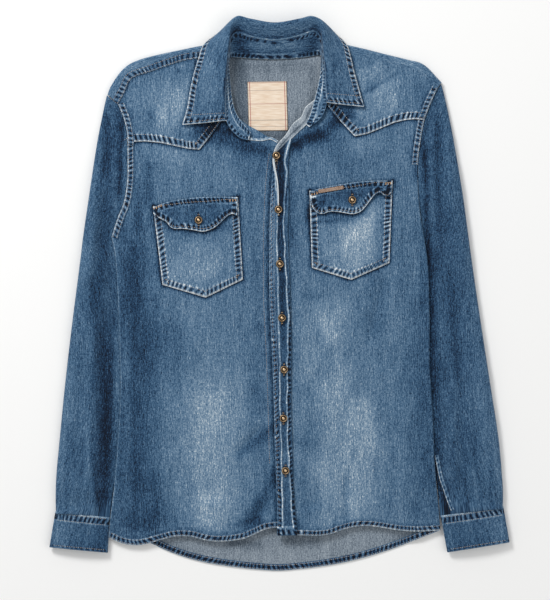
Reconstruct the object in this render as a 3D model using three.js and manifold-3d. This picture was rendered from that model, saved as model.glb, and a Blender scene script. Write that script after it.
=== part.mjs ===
// Western denim shirt laid flat, front up. Millimetres, +Z up, the surface it lies on at Z = 0.
// +X is the wearer's left, +Y runs from the hem to the collar.
import * as THREE from 'three';
import { mergeVertices } from 'three/addons/utils/BufferGeometryUtils.js';
import Module from 'manifold-3d';

const wasm = await Module();
wasm.setup();

// Driving sizes
const CLOTH = 1.2;
const SEAM_GAP = 0.4;
const LAYER = CLOTH + SEAM_GAP;
const LAYER_SLACK = 0.15;
const FLOOR_MIDDLE = CLOTH / 2;
const BUTTON_DIAMETER = 11.4;
const BUTTON_THICKNESS = 2.4;
const OVERLAP = 24;
const EDGE_HEIGHT = 6.7;
const CUFF_LIFT = 3.1;
const FLOOR_CLEARANCE = 0.05;

// How the back's sides ride over the tucked sleeves: lift, flat and sloping widths, and where the
// lift fades out below each armhole
const TUCK = { lift: 4.4, flat: 26, slope: 26, rightTop: 86, leftTop: 107, fade: 40 };

// Turns round a folded edge at which it gets a point
const FOLD_TURNS = [0.25, 0.5, 0.75];

// Outlines in plan, columns x and y
const SIDE_RIGHT = [
  [-240.5, -345], [-239.5, -321], [-233.5, -264], [-228, -193], [-225, -129], [-226.5, -72.5],
  [-229.5, 5.5], [-233, 55.5], [-238, 81],
];
const ARMHOLE_RIGHT = [
  [-238, 81], [-229.5, 108], [-221, 129], [-216, 160], [-215.5, 201.5], [-216, 226], [-220, 245.5],
  [-228.5, 268.5],
];
const SIDE_LEFT = [
  [228, -335], [225, -297], [220, -243], [217.5, -179], [213, -101], [212.5, -22.5], [210, 45.5],
  [205, 79.5], [201, 102],
];
const ARMHOLE_LEFT = [
  [201, 102], [197.5, 133.5], [196, 165], [196.5, 190.5], [199, 210], [205, 244], [213.5, 268.5],
  [224, 291.5],
];
const HEM_RIGHT = [
  [-240.5, -345], [-228, -351.5], [-212.5, -355.5], [-195, -355.5], [-167, -348], [-148.5, -343.5],
  [-127, -343.5], [-106, -348.5], [-87.5, -350.5], [-67.5, -349.5], [-49, -346], [-33.5, -339.5],
  [-19, -333], [-5, -331], [20, -331],
];
const HEM_LEFT = [
  [-3.5, -342], [25, -341.5], [57.5, -342], [71.5, -340], [86, -335], [100, -331], [117, -328.5],
  [135.5, -329.5], [154, -332.5], [171, -335], [192.5, -336.5], [211, -336], [228, -335],
];
const HEM_BACK = [
  [-240.5, -345], [-212.5, -347], [-184, -353.5], [-162.5, -363], [-138.5, -372], [-104.5, -381],
  [-70.5, -386.5], [-36, -390.5], [-2, -392.6], [32, -390], [66, -385.5], [100, -379], [134, -370],
  [168.5, -358.5], [202.5, -345], [228, -335],
];
const SHOULDER_SEAM_RIGHT = [
  [-228.5, 268.5], [-223.5, 277.5], [-218, 288.5], [-212.5, 301], [-205, 307], [-184, 314],
  [-158.5, 323], [-130, 331.5], [-102, 334], [-75.5, 332.5],
];
const SHOULDER_FOLD_RIGHT = [
  [-243.5, 282.5], [-240.5, 291], [-232, 305.5], [-223.5, 316.5], [-213.5, 325], [-198, 332],
  [-169.5, 339.5], [-138.5, 346], [-106, 352], [-80, 351],
];
const SHOULDER_SEAM_LEFT = [
  [224, 291.5], [213.5, 302.5], [204, 311.5], [196.5, 317], [183.5, 320.5], [149, 329], [115, 337],
  [88, 341], [63, 339.5],
];
const SHOULDER_FOLD_LEFT = [
  [229.5, 299.5], [219, 311], [209.5, 321], [199.5, 327.5], [185.5, 331], [151, 339.5], [117, 348],
  [92, 353], [68, 352],
];
const NECK_RIGHT = [
  [-75.5, 332.5], [-74, 315], [-72.5, 295.5], [-70.5, 275.5], [-67, 260], [-58, 250], [-47.5, 241],
  [-30.5, 231.5], [-13.5, 221], [11, 209],
];
const NECK_LEFT = [
  [63, 339.5], [62, 315], [59, 294], [53, 274], [47.5, 258.5], [39, 243], [27.5, 231.5], [16.5, 221],
  [5, 210], [-6, 199.5],
];
const PLACKET_EDGE = [
  [-3.5, -342], [-3, -306.5], [-4.5, -264], [-6.5, -207.5], [-8, -150.5], [-10, -93.5], [-12, -51],
  [-14, -8.5], [-14, 91], [-12.5, 133.5], [-10, 169], [-6, 199.5],
];
const PLACKET_SEAM = [
  [25, -341.5], [22, -306.5], [19, -264], [18, -207.5], [16.5, -164.5], [16.5, -65.5], [15, -8.5],
  [13, 48.5], [11.5, 91], [13, 133.5], [12, 183], [16.5, 221],
];
const YOKE_SEAM_BACK = [
  [-215.5, 201.5], [-155.5, 196], [-77.5, 182], [-9, 167.5], [57.5, 183], [135.5, 199], [199, 210],
];
const YOKE_TOP_BACK = [
  [-238, 277], [-205, 316], [-140, 337], [-98, 343], [-79, 341], [-64, 336], [-6.5, 333.5],
  [52, 339], [66, 343.5], [110, 338], [185, 321], [224.5, 293],
];
const SLEEVE_RIGHT_OUTER = [
  [-244.5, 281.5], [-249, 261.5], [-257.5, 218.5], [-270.5, 133.5], [-278.5, 78], [-282, 48.5],
  [-293, -37], [-303, -122], [-311.5, -207.5], [-316, -257], [-317, -285.5], [-317, -307.2],
];
const SLEEVE_RIGHT_INNER = [
  [-238.6, 80], [-228, 54], [-214, 10], [-207, -60], [-206, -129], [-211, -193], [-222, -240],
  [-235, -275], [-239.5, -295], [-241.5, -315.9],
];
const SLEEVE_LEFT_OUTER = [
  [229, 297.5], [232, 287], [238, 261.5], [246.5, 218.5], [260.5, 133.5], [265.5, 97], [272, 48.5],
  [284.5, -37], [297.5, -122], [310.5, -207.5], [315, -257], [316.5, -281], [316.5, -300.2],
];
const SLEEVE_LEFT_INNER = [
  [201.6, 101], [195, 76], [189, 42], [191, -22], [193, -101], [199, -179], [209, -230], [222, -262],
  [227, -285], [229, -313.3],
];
const CUFF_RIGHT_ENDS = {
  topOuter: [-317, -308],
  topInner: [-241.5, -316.5],
  hemOuter: [-325.5, -359],
  hemInner: [-244, -366.5],
};
const CUFF_LEFT_ENDS = {
  topOuter: [316.5, -301],
  topInner: [229, -314],
  hemOuter: [325.5, -352],
  hemInner: [238.5, -366],
};

// Heights of the fronts' crown above the surface, columns y and height
const CROWN = [
  [-392, 8], [-345, 8.5], [-200, 10.5], [0, 11], [120, 10], [200, 8], [260, 6.8], [340, 6.5],
];

// Folds, columns start x, start y, end x, end y, half width and rise (a trough is negative)
const BODY_FOLDS = [
  [-22, -190, -62, -228, 9, -2.2], [-22, -298, -50, -338, 9, -2.4], [-92, -290, -92, -352, 22, 2.4],
  [-198, 40, -206, -330, 16, -1.6], [150, 27, 126, -75, 12, -2], [48, -300, 56, -345, 20, 2.6],
  [93, -250, 96, -332, 9, -1.6], [-150, -330, -146, -230, 12, -1.5], [-120, -40, -132, -210, 16, 1.2],
  [176, -120, 182, -300, 14, 1.3], [70, -40, 62, -210, 18, 1.1], [121, 290, 171, 315, 14, -0.8],
  [-190, 255, -150, 232, 14, 0.8],
];
const SLEEVE_RIGHT_FOLDS = [
  [-243, 262, -243, 160, 9, -3.6], [-226, 250, -226, 130, 7, -2.4], [-244, 160, -262, -10, 9, -4.6],
  [-250, -25, -251, -300, 10, -6.2], [-270, 60, -284, -80, 12, 1.6], [-284, -120, -290, -260, 9, -2],
  [-268, -150, -275, -300, 7, 1.4], [-300, -150, -305, -290, 6, -1.3],
];
const SLEEVE_LEFT_FOLDS = [
  [226, 262, 228, 60, 9, -5], [212, 240, 212, 110, 7, 2], [240, 40, 226, -130, 11, -4.2],
  [250, 200, 262, 20, 12, 1.5], [252, 10, 262, -290, 9, -2.6], [228, -85, 243, -158, 6, -1.8],
  [280, -40, 296, -230, 14, 1.6], [274, -180, 282, -300, 6, -1.4],
];

// Collar sections from the right end round the back to the left end.
// Columns: seat (neck seam), top (top of the stand), roll, fall and edge of the leaf.
const COLLAR = [
  { seat: [-40.5, 228, 11.8], top: [-44, 218, 11.8] },
  { seat: [-47.5, 237, 11.8], top: [-54.5, 220, 11.8] },
  { seat: [-56, 247, 11.8], top: [-66, 229.5, 12.2] },
  { seat: [-63, 260, 10.4], top: [-75, 244, 13.3],
    roll: [-77, 245, 15], fall: [-106, 242, 14.2], edge: [-137.5, 239.5, 13.6] },
  { seat: [-67, 275.5, 9.8], top: [-76.5, 264, 15.6],
    roll: [-78.5, 265, 18.5], fall: [-101.5, 265.5, 15.6], edge: [-130.5, 264, 12.8] },
  { seat: [-69.5, 295.5, 9], top: [-76.5, 287, 17.8],
    roll: [-78, 288.5, 21], fall: [-98.5, 288.5, 17], edge: [-126.5, 288.5, 12.6] },
  { seat: [-71, 315, 8], top: [-75.5, 311, 19.1],
    roll: [-76.5, 314, 23], fall: [-97.5, 312.5, 18], edge: [-121.5, 311, 12.4] },
  { seat: [-71, 331, 6], top: [-73, 336.5, 19.6],
    roll: [-74, 343.5, 24], fall: [-93, 338, 18.5], edge: [-115, 332.5, 12.2] },
  { seat: [-68.5, 336, 4], top: [-70.5, 352, 19.4],
    roll: [-71.5, 366.5, 25], fall: [-89, 359.5, 18], edge: [-108, 352, 11.6] },
  { seat: [-63, 336, 2.8], top: [-67.5, 363.5, 18.6],
    roll: [-69, 380.5, 25.5], fall: [-81.5, 373.5, 15], edge: [-93, 365, 3.4] },
  { seat: [-56, 335.5, 2.5], top: [-60.5, 369, 17.8],
    roll: [-59, 391, 26], fall: [-62, 390, 14], edge: [-64.5, 379, 1.9] },
  { seat: [-39, 334, 2.4], top: [-40.5, 363.5, 16.2],
    roll: [-42, 387.5, 25.5], fall: [-42, 387, 13], edge: [-42, 376.5, 1.6] },
  { seat: [-6.5, 333, 2.4], top: [-6.5, 358.5, 15.2],
    roll: [-6.5, 382, 24.5], fall: [-6.5, 381.5, 12.5], edge: [-6.5, 370.5, 1.5] },
  { seat: [27.5, 335, 2.4], top: [29, 365, 16.2],
    roll: [29, 387.5, 25.5], fall: [29, 387, 13], edge: [29, 376.5, 1.6] },
  { seat: [46, 337.5, 2.5], top: [49, 371, 17.8],
    roll: [46, 391, 26], fall: [49, 390, 14], edge: [53, 379, 1.9] },
  { seat: [54.5, 339, 2.8], top: [57.5, 363.5, 18.6],
    roll: [59.5, 383.5, 25.5], fall: [71.5, 376.5, 15], edge: [81.5, 366, 3.4] },
  { seat: [58.5, 338, 4], top: [60.5, 352, 19.4],
    roll: [62, 366.5, 25], fall: [77.5, 360.5, 18], edge: [95, 353, 11.6] },
  { seat: [59, 329.5, 6], top: [63, 335, 19.6],
    roll: [64, 343.5, 23.5], fall: [80, 341, 18.5], edge: [101, 335, 12.2] },
  { seat: [58, 312.5, 8], top: [65, 315, 19.1],
    roll: [66, 318, 22], fall: [84.5, 316.5, 18], edge: [106, 314, 12.4] },
  { seat: [54.5, 294, 9.6], top: [66, 292.5, 17.2],
    roll: [67, 294, 20], fall: [89, 294, 16.6], edge: [112, 292, 12.8] },
  { seat: [48.5, 271, 10.4], top: [67, 271, 13.5],
    roll: [68.8, 270.5, 15.6], fall: [93, 267.5, 14.6], edge: [119.5, 265, 13.9] },
  { seat: [44, 255.5, 10.4], top: [60.5, 251.5, 11.8] },
  { seat: [40.5, 247, 10.4], top: [52, 243, 11] },
  { seat: [37.5, 240.5, 10.4], top: [42, 236.5, 10.6] },
];
const LEAF_FIRST = 3;
const LEAF_LAST = 20;

// Placket section, columns share of its width and rise of the pucker
const PLACKET_SECTION = [[0, 0], [0.2, 0.8], [0.39, 1.6], [0.57, 0], [0.76, 1.6], [1, 0]];
const BUTTONS = [
  [-4.5, 196], [-1.5, 119.5], [0.5, 42.5], [3.5, -34], [6.5, -107], [5.5, -176], [8.5, -250],
];
const COLLAR_BUTTON = [-52, 233];
const CUFF_BUTTON_RIGHT = [-280, -338];
const CUFF_BUTTON_LEFT = [278, -333];

// Pockets, flaps, label and tab
const POCKET_RIGHT = {
  corners: [[-179, 124], [-165.5, 13], [-104.5, -5], [-52, 20.5], [-59, 137]],
  top: [[-179, 122.5], [-162.5, 129], [-141.5, 133.5], [-115.5, 136.5], [-87.5, 137.5], [-59.5, 137]],
  flap: [
    [-178, 114], [-172.5, 106.5], [-164, 98], [-152.5, 92.5], [-134, 90.5], [-110, 88.5],
    [-96, 92.5], [-81.5, 103.5], [-71.5, 111.5], [-60.5, 111],
  ],
  button: [-114.5, 104.5],
  buttonDown: 0.9,
  cornerCurl: 2.5,
};
const POCKET_LEFT = {
  corners: [[42.5, 146], [46, 37], [101.5, 20], [155.5, 44], [160, 160]],
  top: [[42.5, 145.5], [64.5, 151], [93, 156], [125.5, 160], [160, 160.5]],
  flap: [
    [44.5, 133.5], [47.5, 120.5], [54.5, 113.5], [71.5, 114], [90, 114.5], [107, 114.5],
    [118.5, 119.5], [130, 133], [140, 142], [148.5, 139], [157, 143.5],
  ],
  button: [103, 133],
  buttonDown: 0.8,
  cornerCurl: 0.8,
};
const FLAP_LIFT = 2.2;
const LABEL = { corners: [[-45.5, 301], [-43.5, 231.5], [12, 232], [10, 302]], thickness: 0.8 };
const TAB = {
  corners: [[54.5, 147.5], [55.3, 142.5], [90.8, 148.5], [90, 153.5]],
  thickness: 1,
};
const YOKE_RIGHT_EDGE = [
  [-215, 210], [-206.5, 216], [-191, 216.5], [-169.5, 214.5], [-148.5, 210], [-130, 206], [-113.5, 204.5],
];
const YOKE_LEFT_EDGE = [
  [205, 247], [192.5, 248], [179.5, 247], [162.5, 243], [142.5, 234.5], [124, 227], [106.5, 223.5],
];

// The rest of each yoke's cut: along the collar, then past the front's shoulder and armhole
const YOKE_RIGHT_REST = [
  [-90, 234.5], [-74, 268.5], [-60, 262], [-50, 350], [-260, 350], [-260, 200],
];
const YOKE_LEFT_REST = [
  [86, 245.5], [61, 276], [45, 270], [40, 360], [260, 360], [260, 247],
];

// Colours of the pieces
const DENIM = new THREE.MeshStandardMaterial({ color: 0x4f6d92, roughness: 0.92, metalness: 0 });
const DENIM_DARK = new THREE.MeshStandardMaterial({ color: 0x3f5a80, roughness: 0.92, metalness: 0 });
const DENIM_PALE = new THREE.MeshStandardMaterial({ color: 0x8fa0b4, roughness: 0.94, metalness: 0 });
const BRASS = new THREE.MeshStandardMaterial({ color: 0x9a7a58, roughness: 0.4, metalness: 0.9 });
const LABEL_CLOTH = new THREE.MeshStandardMaterial({ color: 0xd9bfa8, roughness: 0.8, metalness: 0 });
const TAN_LEATHER = new THREE.MeshStandardMaterial({ color: 0x8a6448, roughness: 0.7, metalness: 0 });

const shirt = new THREE.Group();

// Small mathematics
const smooth = (value) => THREE.MathUtils.smoothstep(value, 0, 1);
const curveThrough = (points) => new THREE.CatmullRomCurve3(
  points.map(([x, y, z = 0]) => new THREE.Vector3(x, y, z)), false, 'centripetal');
const spaced = (points, count) => curveThrough(points).getSpacedPoints(count);
const fromTable = (table, key) => {
  const last = table.length - 1;
  const next = THREE.MathUtils.clamp(table.findIndex(([at]) => at >= key), 1, last);
  const at = next < 1 || key > table[last][0] ? last : next;
  const [lowKey, low] = table[at - 1];
  const [highKey, high] = table[at];
  return low + (high - low) * THREE.MathUtils.clamp((key - lowKey) / (highKey - lowKey), 0, 1);
};
const acrossAt = (outline) => {
  const table = outline.map(([x, y]) => [y, x]).sort((a, b) => a[0] - b[0]);
  return (y) => fromTable(table, y);
};

// Rise that a table of folds gives at a place in plan
function foldRise(folds, x, y) {
  let rise = 0;
  for (const [startX, startY, endX, endY, halfWidth, height] of folds) {
    const alongX = endX - startX;
    const alongY = endY - startY;
    const length = Math.hypot(alongX, alongY);
    const share = ((x - startX) * alongX + (y - startY) * alongY) / (length * length);
    const offset = ((x - startX) * alongY - (y - startY) * alongX) / length;
    const taper = smooth(share / 0.3 + 0.3) * smooth((1 - share) / 0.3 + 0.3);
    rise += height * taper * Math.exp(-((offset / halfWidth) ** 2));
  }
  return rise;
}

// A cloth wall on rows of points that lie on the middle of the cloth
function wallGeometry(rows, thickness) {
  const rowCount = rows.length;
  const columnCount = rows[0].length;
  const positions = [];
  const half = thickness / 2;
  for (const side of [1, -1]) {
    for (let row = 0; row < rowCount; row += 1) {
      for (let column = 0; column < columnCount; column += 1) {
        const normal = wallNormal(rows, row, column);
        const point = rows[row][column].clone().addScaledVector(normal, side * half);
        positions.push(point.x, point.y, point.z);
      }
    }
  }
  const outer = (row, column) => row * columnCount + column;
  const shift = rowCount * columnCount;
  const triangles = [];
  for (let row = 0; row + 1 < rowCount; row += 1) {
    for (let column = 0; column + 1 < columnCount; column += 1) {
      const [a, b] = [outer(row, column), outer(row, column + 1)];
      const [c, d] = [outer(row + 1, column + 1), outer(row + 1, column)];
      triangles.push(a, b, c, a, c, d);
      triangles.push(shift + a, shift + c, shift + b, shift + a, shift + d, shift + c);
    }
  }
  const rim = [];
  for (let column = 0; column < columnCount - 1; column += 1) {
    rim.push(outer(0, column));
  }
  for (let row = 0; row < rowCount - 1; row += 1) {
    rim.push(outer(row, columnCount - 1));
  }
  for (let column = columnCount - 1; column > 0; column -= 1) {
    rim.push(outer(rowCount - 1, column));
  }
  for (let row = rowCount - 1; row > 0; row -= 1) {
    rim.push(outer(row, 0));
  }
  rim.forEach((p, index) => {
    const q = rim[(index + 1) % rim.length];
    triangles.push(q, p, shift + p, q, shift + p, shift + q);
  });
  const geometry = new THREE.BufferGeometry();
  geometry.setAttribute('position', new THREE.Float32BufferAttribute(positions, 3));
  geometry.setIndex(triangles);
  return geometry;
}

function wallNormal(rows, row, column) {
  const lastRow = rows.length - 1;
  const lastColumn = rows[0].length - 1;
  const across = rows[row][Math.min(column + 1, lastColumn)].clone()
    .sub(rows[row][Math.max(column - 1, 0)]);
  const along = rows[Math.min(row + 1, lastRow)][column].clone()
    .sub(rows[Math.max(row - 1, 0)][column]);
  return across.cross(along).normalize();
}

function addPiece(name, geometry, material) {
  const mesh = new THREE.Mesh(geometry, material);
  mesh.name = name;
  shirt.add(mesh);
}

// Plan of a panel between four edges: straight rows that bend to its bottom and top edges
function panelRows(left, right, bottom, top, height) {
  const lastRow = left.length - 1;
  const lastColumn = bottom.length - 1;
  return left.map((start, row) => bottom.map((_, column) => {
    const up = row / lastRow;
    const over = column / lastColumn;
    const point = start.clone().lerp(right[row], over);
    const toBottom = bottom[column].clone().sub(left[0].clone().lerp(right[0], over));
    const toTop = top[column].clone().sub(left[lastRow].clone().lerp(right[lastRow], over));
    point.addScaledVector(toBottom, (1 - up) ** 3).addScaledVector(toTop, up ** 3);
    point.z = height(point.x, point.y);
    return point;
  }));
}

function movedOut(rows, distance) {
  return rows.map((points, row) => points.map((point, column) => {
    const normal = wallNormal(rows, row, column);
    return point.clone().addScaledVector(normal, distance * Math.sign(normal.z));
  }));
}

// Manifold solids for the pieces cut from a moved-out layer of a panel
function toSolid(geometry) {
  const bare = geometry.clone();
  bare.deleteAttribute('normal');
  bare.deleteAttribute('uv');
  const merged = mergeVertices(bare, 1e-5);
  return new wasm.Manifold(new wasm.Mesh({
    numProp: 3,
    vertProperties: new Float32Array(merged.attributes.position.array),
    triVerts: new Uint32Array(merged.index.array),
  }));
}

function toGeometry(solid) {
  const mesh = solid.getMesh();
  const geometry = new THREE.BufferGeometry();
  geometry.setAttribute('position', new THREE.BufferAttribute(mesh.vertProperties, 3));
  geometry.setIndex(new THREE.BufferAttribute(mesh.triVerts, 1));
  return geometry;
}

const CUTTER_DEPTH = 60;
const SIMPLIFY = 0.02;
function cutFromLayer(rows, outline) {
  const shape = new THREE.Shape(outline.map(([x, y]) => new THREE.Vector2(x, y)));
  const cutter = new THREE.ExtrudeGeometry(shape, { depth: CUTTER_DEPTH, bevelEnabled: false });
  cutter.translate(0, 0, -CUTTER_DEPTH / 4);
  return toGeometry(toSolid(wallGeometry(rows, CLOTH)).intersect(toSolid(cutter)).simplify(SIMPLIFY));
}

// Heights
const sideRightAt = acrossAt([...SIDE_RIGHT, ...ARMHOLE_RIGHT]);
const sideLeftAt = acrossAt([...SIDE_LEFT, ...ARMHOLE_LEFT]);
const placketEdgeAt = acrossAt(PLACKET_EDGE);

function frontHeight(x, y) {
  const right = sideRightAt(y);
  const left = sideLeftAt(y);
  const share = THREE.MathUtils.clamp((2 * x - right - left) / (left - right), -1, 1);
  const crown = fromTable(CROWN, y);
  return EDGE_HEIGHT + (crown - EDGE_HEIGHT) * (1 - Math.abs(share) ** 3)
    + foldRise(BODY_FOLDS, x, y) * smooth((1 - Math.abs(share)) * 6);
}

// The left front rides over the right one where they overlap and comes down beside it
const OVERLAP_RIDE = { margin: 6, slope: 35, clearance: 0.1 };
const leftFrontHeight = (x, y) => {
  const beside = x - placketEdgeAt(y) - OVERLAP - OVERLAP_RIDE.margin;
  return frontHeight(x, y) + (LAYER + OVERLAP_RIDE.clearance) * (1 - smooth(beside / OVERLAP_RIDE.slope));
};

function backHeight(x, y) {
  const inside = Math.min(x - sideRightAt(y), sideLeftAt(y) - x);
  const beside = 1 - smooth((inside - TUCK.flat) / TUCK.slope);
  const top = x < 0 ? TUCK.rightTop : TUCK.leftTop;
  return FLOOR_MIDDLE + TUCK.lift * beside * (1 - smooth((y - top) / TUCK.fade));
}

// Fronts: rows climb the side and armhole on one hand and the front edge and neck on the other
const ROWS = { side: 18, armholeLow: 4, armholeHigh: 5 };
const FRONT_COLUMNS = 12;

function stations(lower, middle, upper) {
  return [...spaced(lower, ROWS.side), ...spaced(middle, ROWS.armholeLow).slice(1),
    ...spaced(upper, ROWS.armholeHigh).slice(1)];
}

const armholeSplit = 4;
const sideStationsRight = stations(SIDE_RIGHT, ARMHOLE_RIGHT.slice(0, armholeSplit + 1),
  ARMHOLE_RIGHT.slice(armholeSplit));
const sideStationsLeft = stations(SIDE_LEFT, ARMHOLE_LEFT.slice(0, armholeSplit + 1),
  ARMHOLE_LEFT.slice(armholeSplit));

const frontEdgeRight = PLACKET_EDGE.map(([x, y]) => [x + OVERLAP, y]);
frontEdgeRight[0] = HEM_RIGHT[HEM_RIGHT.length - 1];
frontEdgeRight[frontEdgeRight.length - 1] = NECK_RIGHT[NECK_RIGHT.length - 1];
const chestStation = 8;
const frontRightRows = panelRows(
  sideStationsRight,
  stations(frontEdgeRight.slice(0, chestStation + 1), frontEdgeRight.slice(chestStation),
    [...NECK_RIGHT].reverse()),
  spaced(HEM_RIGHT, FRONT_COLUMNS), spaced(SHOULDER_SEAM_RIGHT, FRONT_COLUMNS), frontHeight);
const frontLeftRows = panelRows(
  sideStationsLeft,
  stations(PLACKET_EDGE.slice(0, chestStation + 1), PLACKET_EDGE.slice(chestStation),
    [...NECK_LEFT].reverse()),
  spaced([...HEM_LEFT].reverse(), FRONT_COLUMNS), spaced(SHOULDER_SEAM_LEFT, FRONT_COLUMNS),
  leftFrontHeight);
addPiece('front_right', wallGeometry(frontRightRows, CLOTH), DENIM);
addPiece('front_left', wallGeometry([...frontLeftRows].reverse(), CLOTH), DENIM);

// Front yokes, cut from the layer above each front; they reach past its edges and take them
const layerRight = movedOut(frontRightRows, LAYER + LAYER_SLACK);
const layerLeft = movedOut(frontLeftRows, LAYER + LAYER_SLACK);
addPiece('yoke_right', cutFromLayer(layerRight, [...YOKE_RIGHT_EDGE, ...YOKE_RIGHT_REST]), DENIM_DARK);
addPiece('yoke_left', cutFromLayer(layerLeft, [...YOKE_LEFT_EDGE, ...YOKE_LEFT_REST]), DENIM_DARK);

// Back panel and back yoke; the sides of the back ride over the tucked sleeves
const BACK_COLUMNS = 16;
const backSide = (frontStations) => frontStations.slice(0, ROWS.side + ROWS.armholeLow + 1)
  .filter((_, row) => row % 2 === 0 || row > ROWS.side);
const backRightSide = backSide(sideStationsRight);
const backLeftSide = backSide(sideStationsLeft);
const backTop = YOKE_SEAM_BACK.map(([x, y]) => [x, y - 2 * SEAM_GAP]);
backRightSide[backRightSide.length - 1].y -= 2 * SEAM_GAP;
const backRows = panelRows(backRightSide, backLeftSide, spaced(HEM_BACK, BACK_COLUMNS),
  spaced(backTop, BACK_COLUMNS), backHeight);
addPiece('back', wallGeometry(backRows, CLOTH), DENIM_PALE);

// One rolled strip of the yoke over a shoulder: a short leg on the surface, the fold and the top leg
const ROLL_LEG = 14;
function shoulderRoll(fold, seam) {
  const foldPoints = spaced(fold, FRONT_COLUMNS);
  const seamPoints = spaced(seam, FRONT_COLUMNS);
  return foldPoints.map((edge, index) => {
    const inward = seamPoints[index].clone().sub(edge);
    inward.z = 0;
    const reach = inward.length();
    inward.normalize();
    const top = frontHeight(seamPoints[index].x, seamPoints[index].y) + LAYER / 2;
    const radius = (top - FLOOR_MIDDLE) / 2;
    const points = [];
    const put = (distance, z) => {
      const point = edge.clone().addScaledVector(inward, distance);
      point.z = z;
      points.push(point);
    };
    put(ROLL_LEG, FLOOR_MIDDLE);
    put(radius, FLOOR_MIDDLE);
    for (const turn of FOLD_TURNS) {
      const angle = Math.PI * turn;
      put(radius * (1 - Math.sin(angle)), FLOOR_MIDDLE + radius * (1 - Math.cos(angle)));
    }
    put(radius, top);
    put(reach - 2 * SEAM_GAP, top);
    return points;
  });
}

const cornerAt = (place) => new THREE.Vector3(...place, 0);
const yokeSheet = panelRows(
  [...sideStationsRight.slice(-ROWS.armholeHigh - 1), cornerAt(YOKE_TOP_BACK[0])],
  [...sideStationsLeft.slice(-ROWS.armholeHigh - 1), cornerAt(YOKE_TOP_BACK[YOKE_TOP_BACK.length - 1])],
  spaced(YOKE_SEAM_BACK, BACK_COLUMNS), spaced(YOKE_TOP_BACK, BACK_COLUMNS),
  () => FLOOR_MIDDLE);
const rollRight = shoulderRoll(SHOULDER_FOLD_RIGHT, SHOULDER_SEAM_RIGHT);
const rollLeft = shoulderRoll(SHOULDER_FOLD_LEFT, SHOULDER_SEAM_LEFT);
const backYoke = toSolid(wallGeometry(yokeSheet, CLOTH))
  .add(toSolid(wallGeometry(rollRight, CLOTH)))
  .add(toSolid(wallGeometry([...rollLeft].reverse(), CLOTH)));
addPiece('back_yoke', toGeometry(backYoke.simplify(SIMPLIFY)), DENIM_PALE);

// Sleeves: one sheet each, from the front armhole round the outer fold to the back armhole and,
// below the underarm, closed along the underarm seam that lies tucked under the body
const SLEEVE = {
  rowsBelow: 18,
  topColumns: 8,
  bottomColumns: 4,
  outerRadius: 3,
  innerRadius: 1.25,
  armholeGap: 0.7,
  outerSteps: 200,
  endRows: 4,
  tucked: 4,
  rise: 26,
  rounding: 20,
  deepest: 0.6,
  armholeStart: 4,
  armholeRise: 36,
};
const SLEEVE_LOFT = [
  [-320, 4], [-280, 6], [-100, 6], [60, 6.5], [180, 5.5], [270, 2], [300, 0.5],
];

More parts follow.
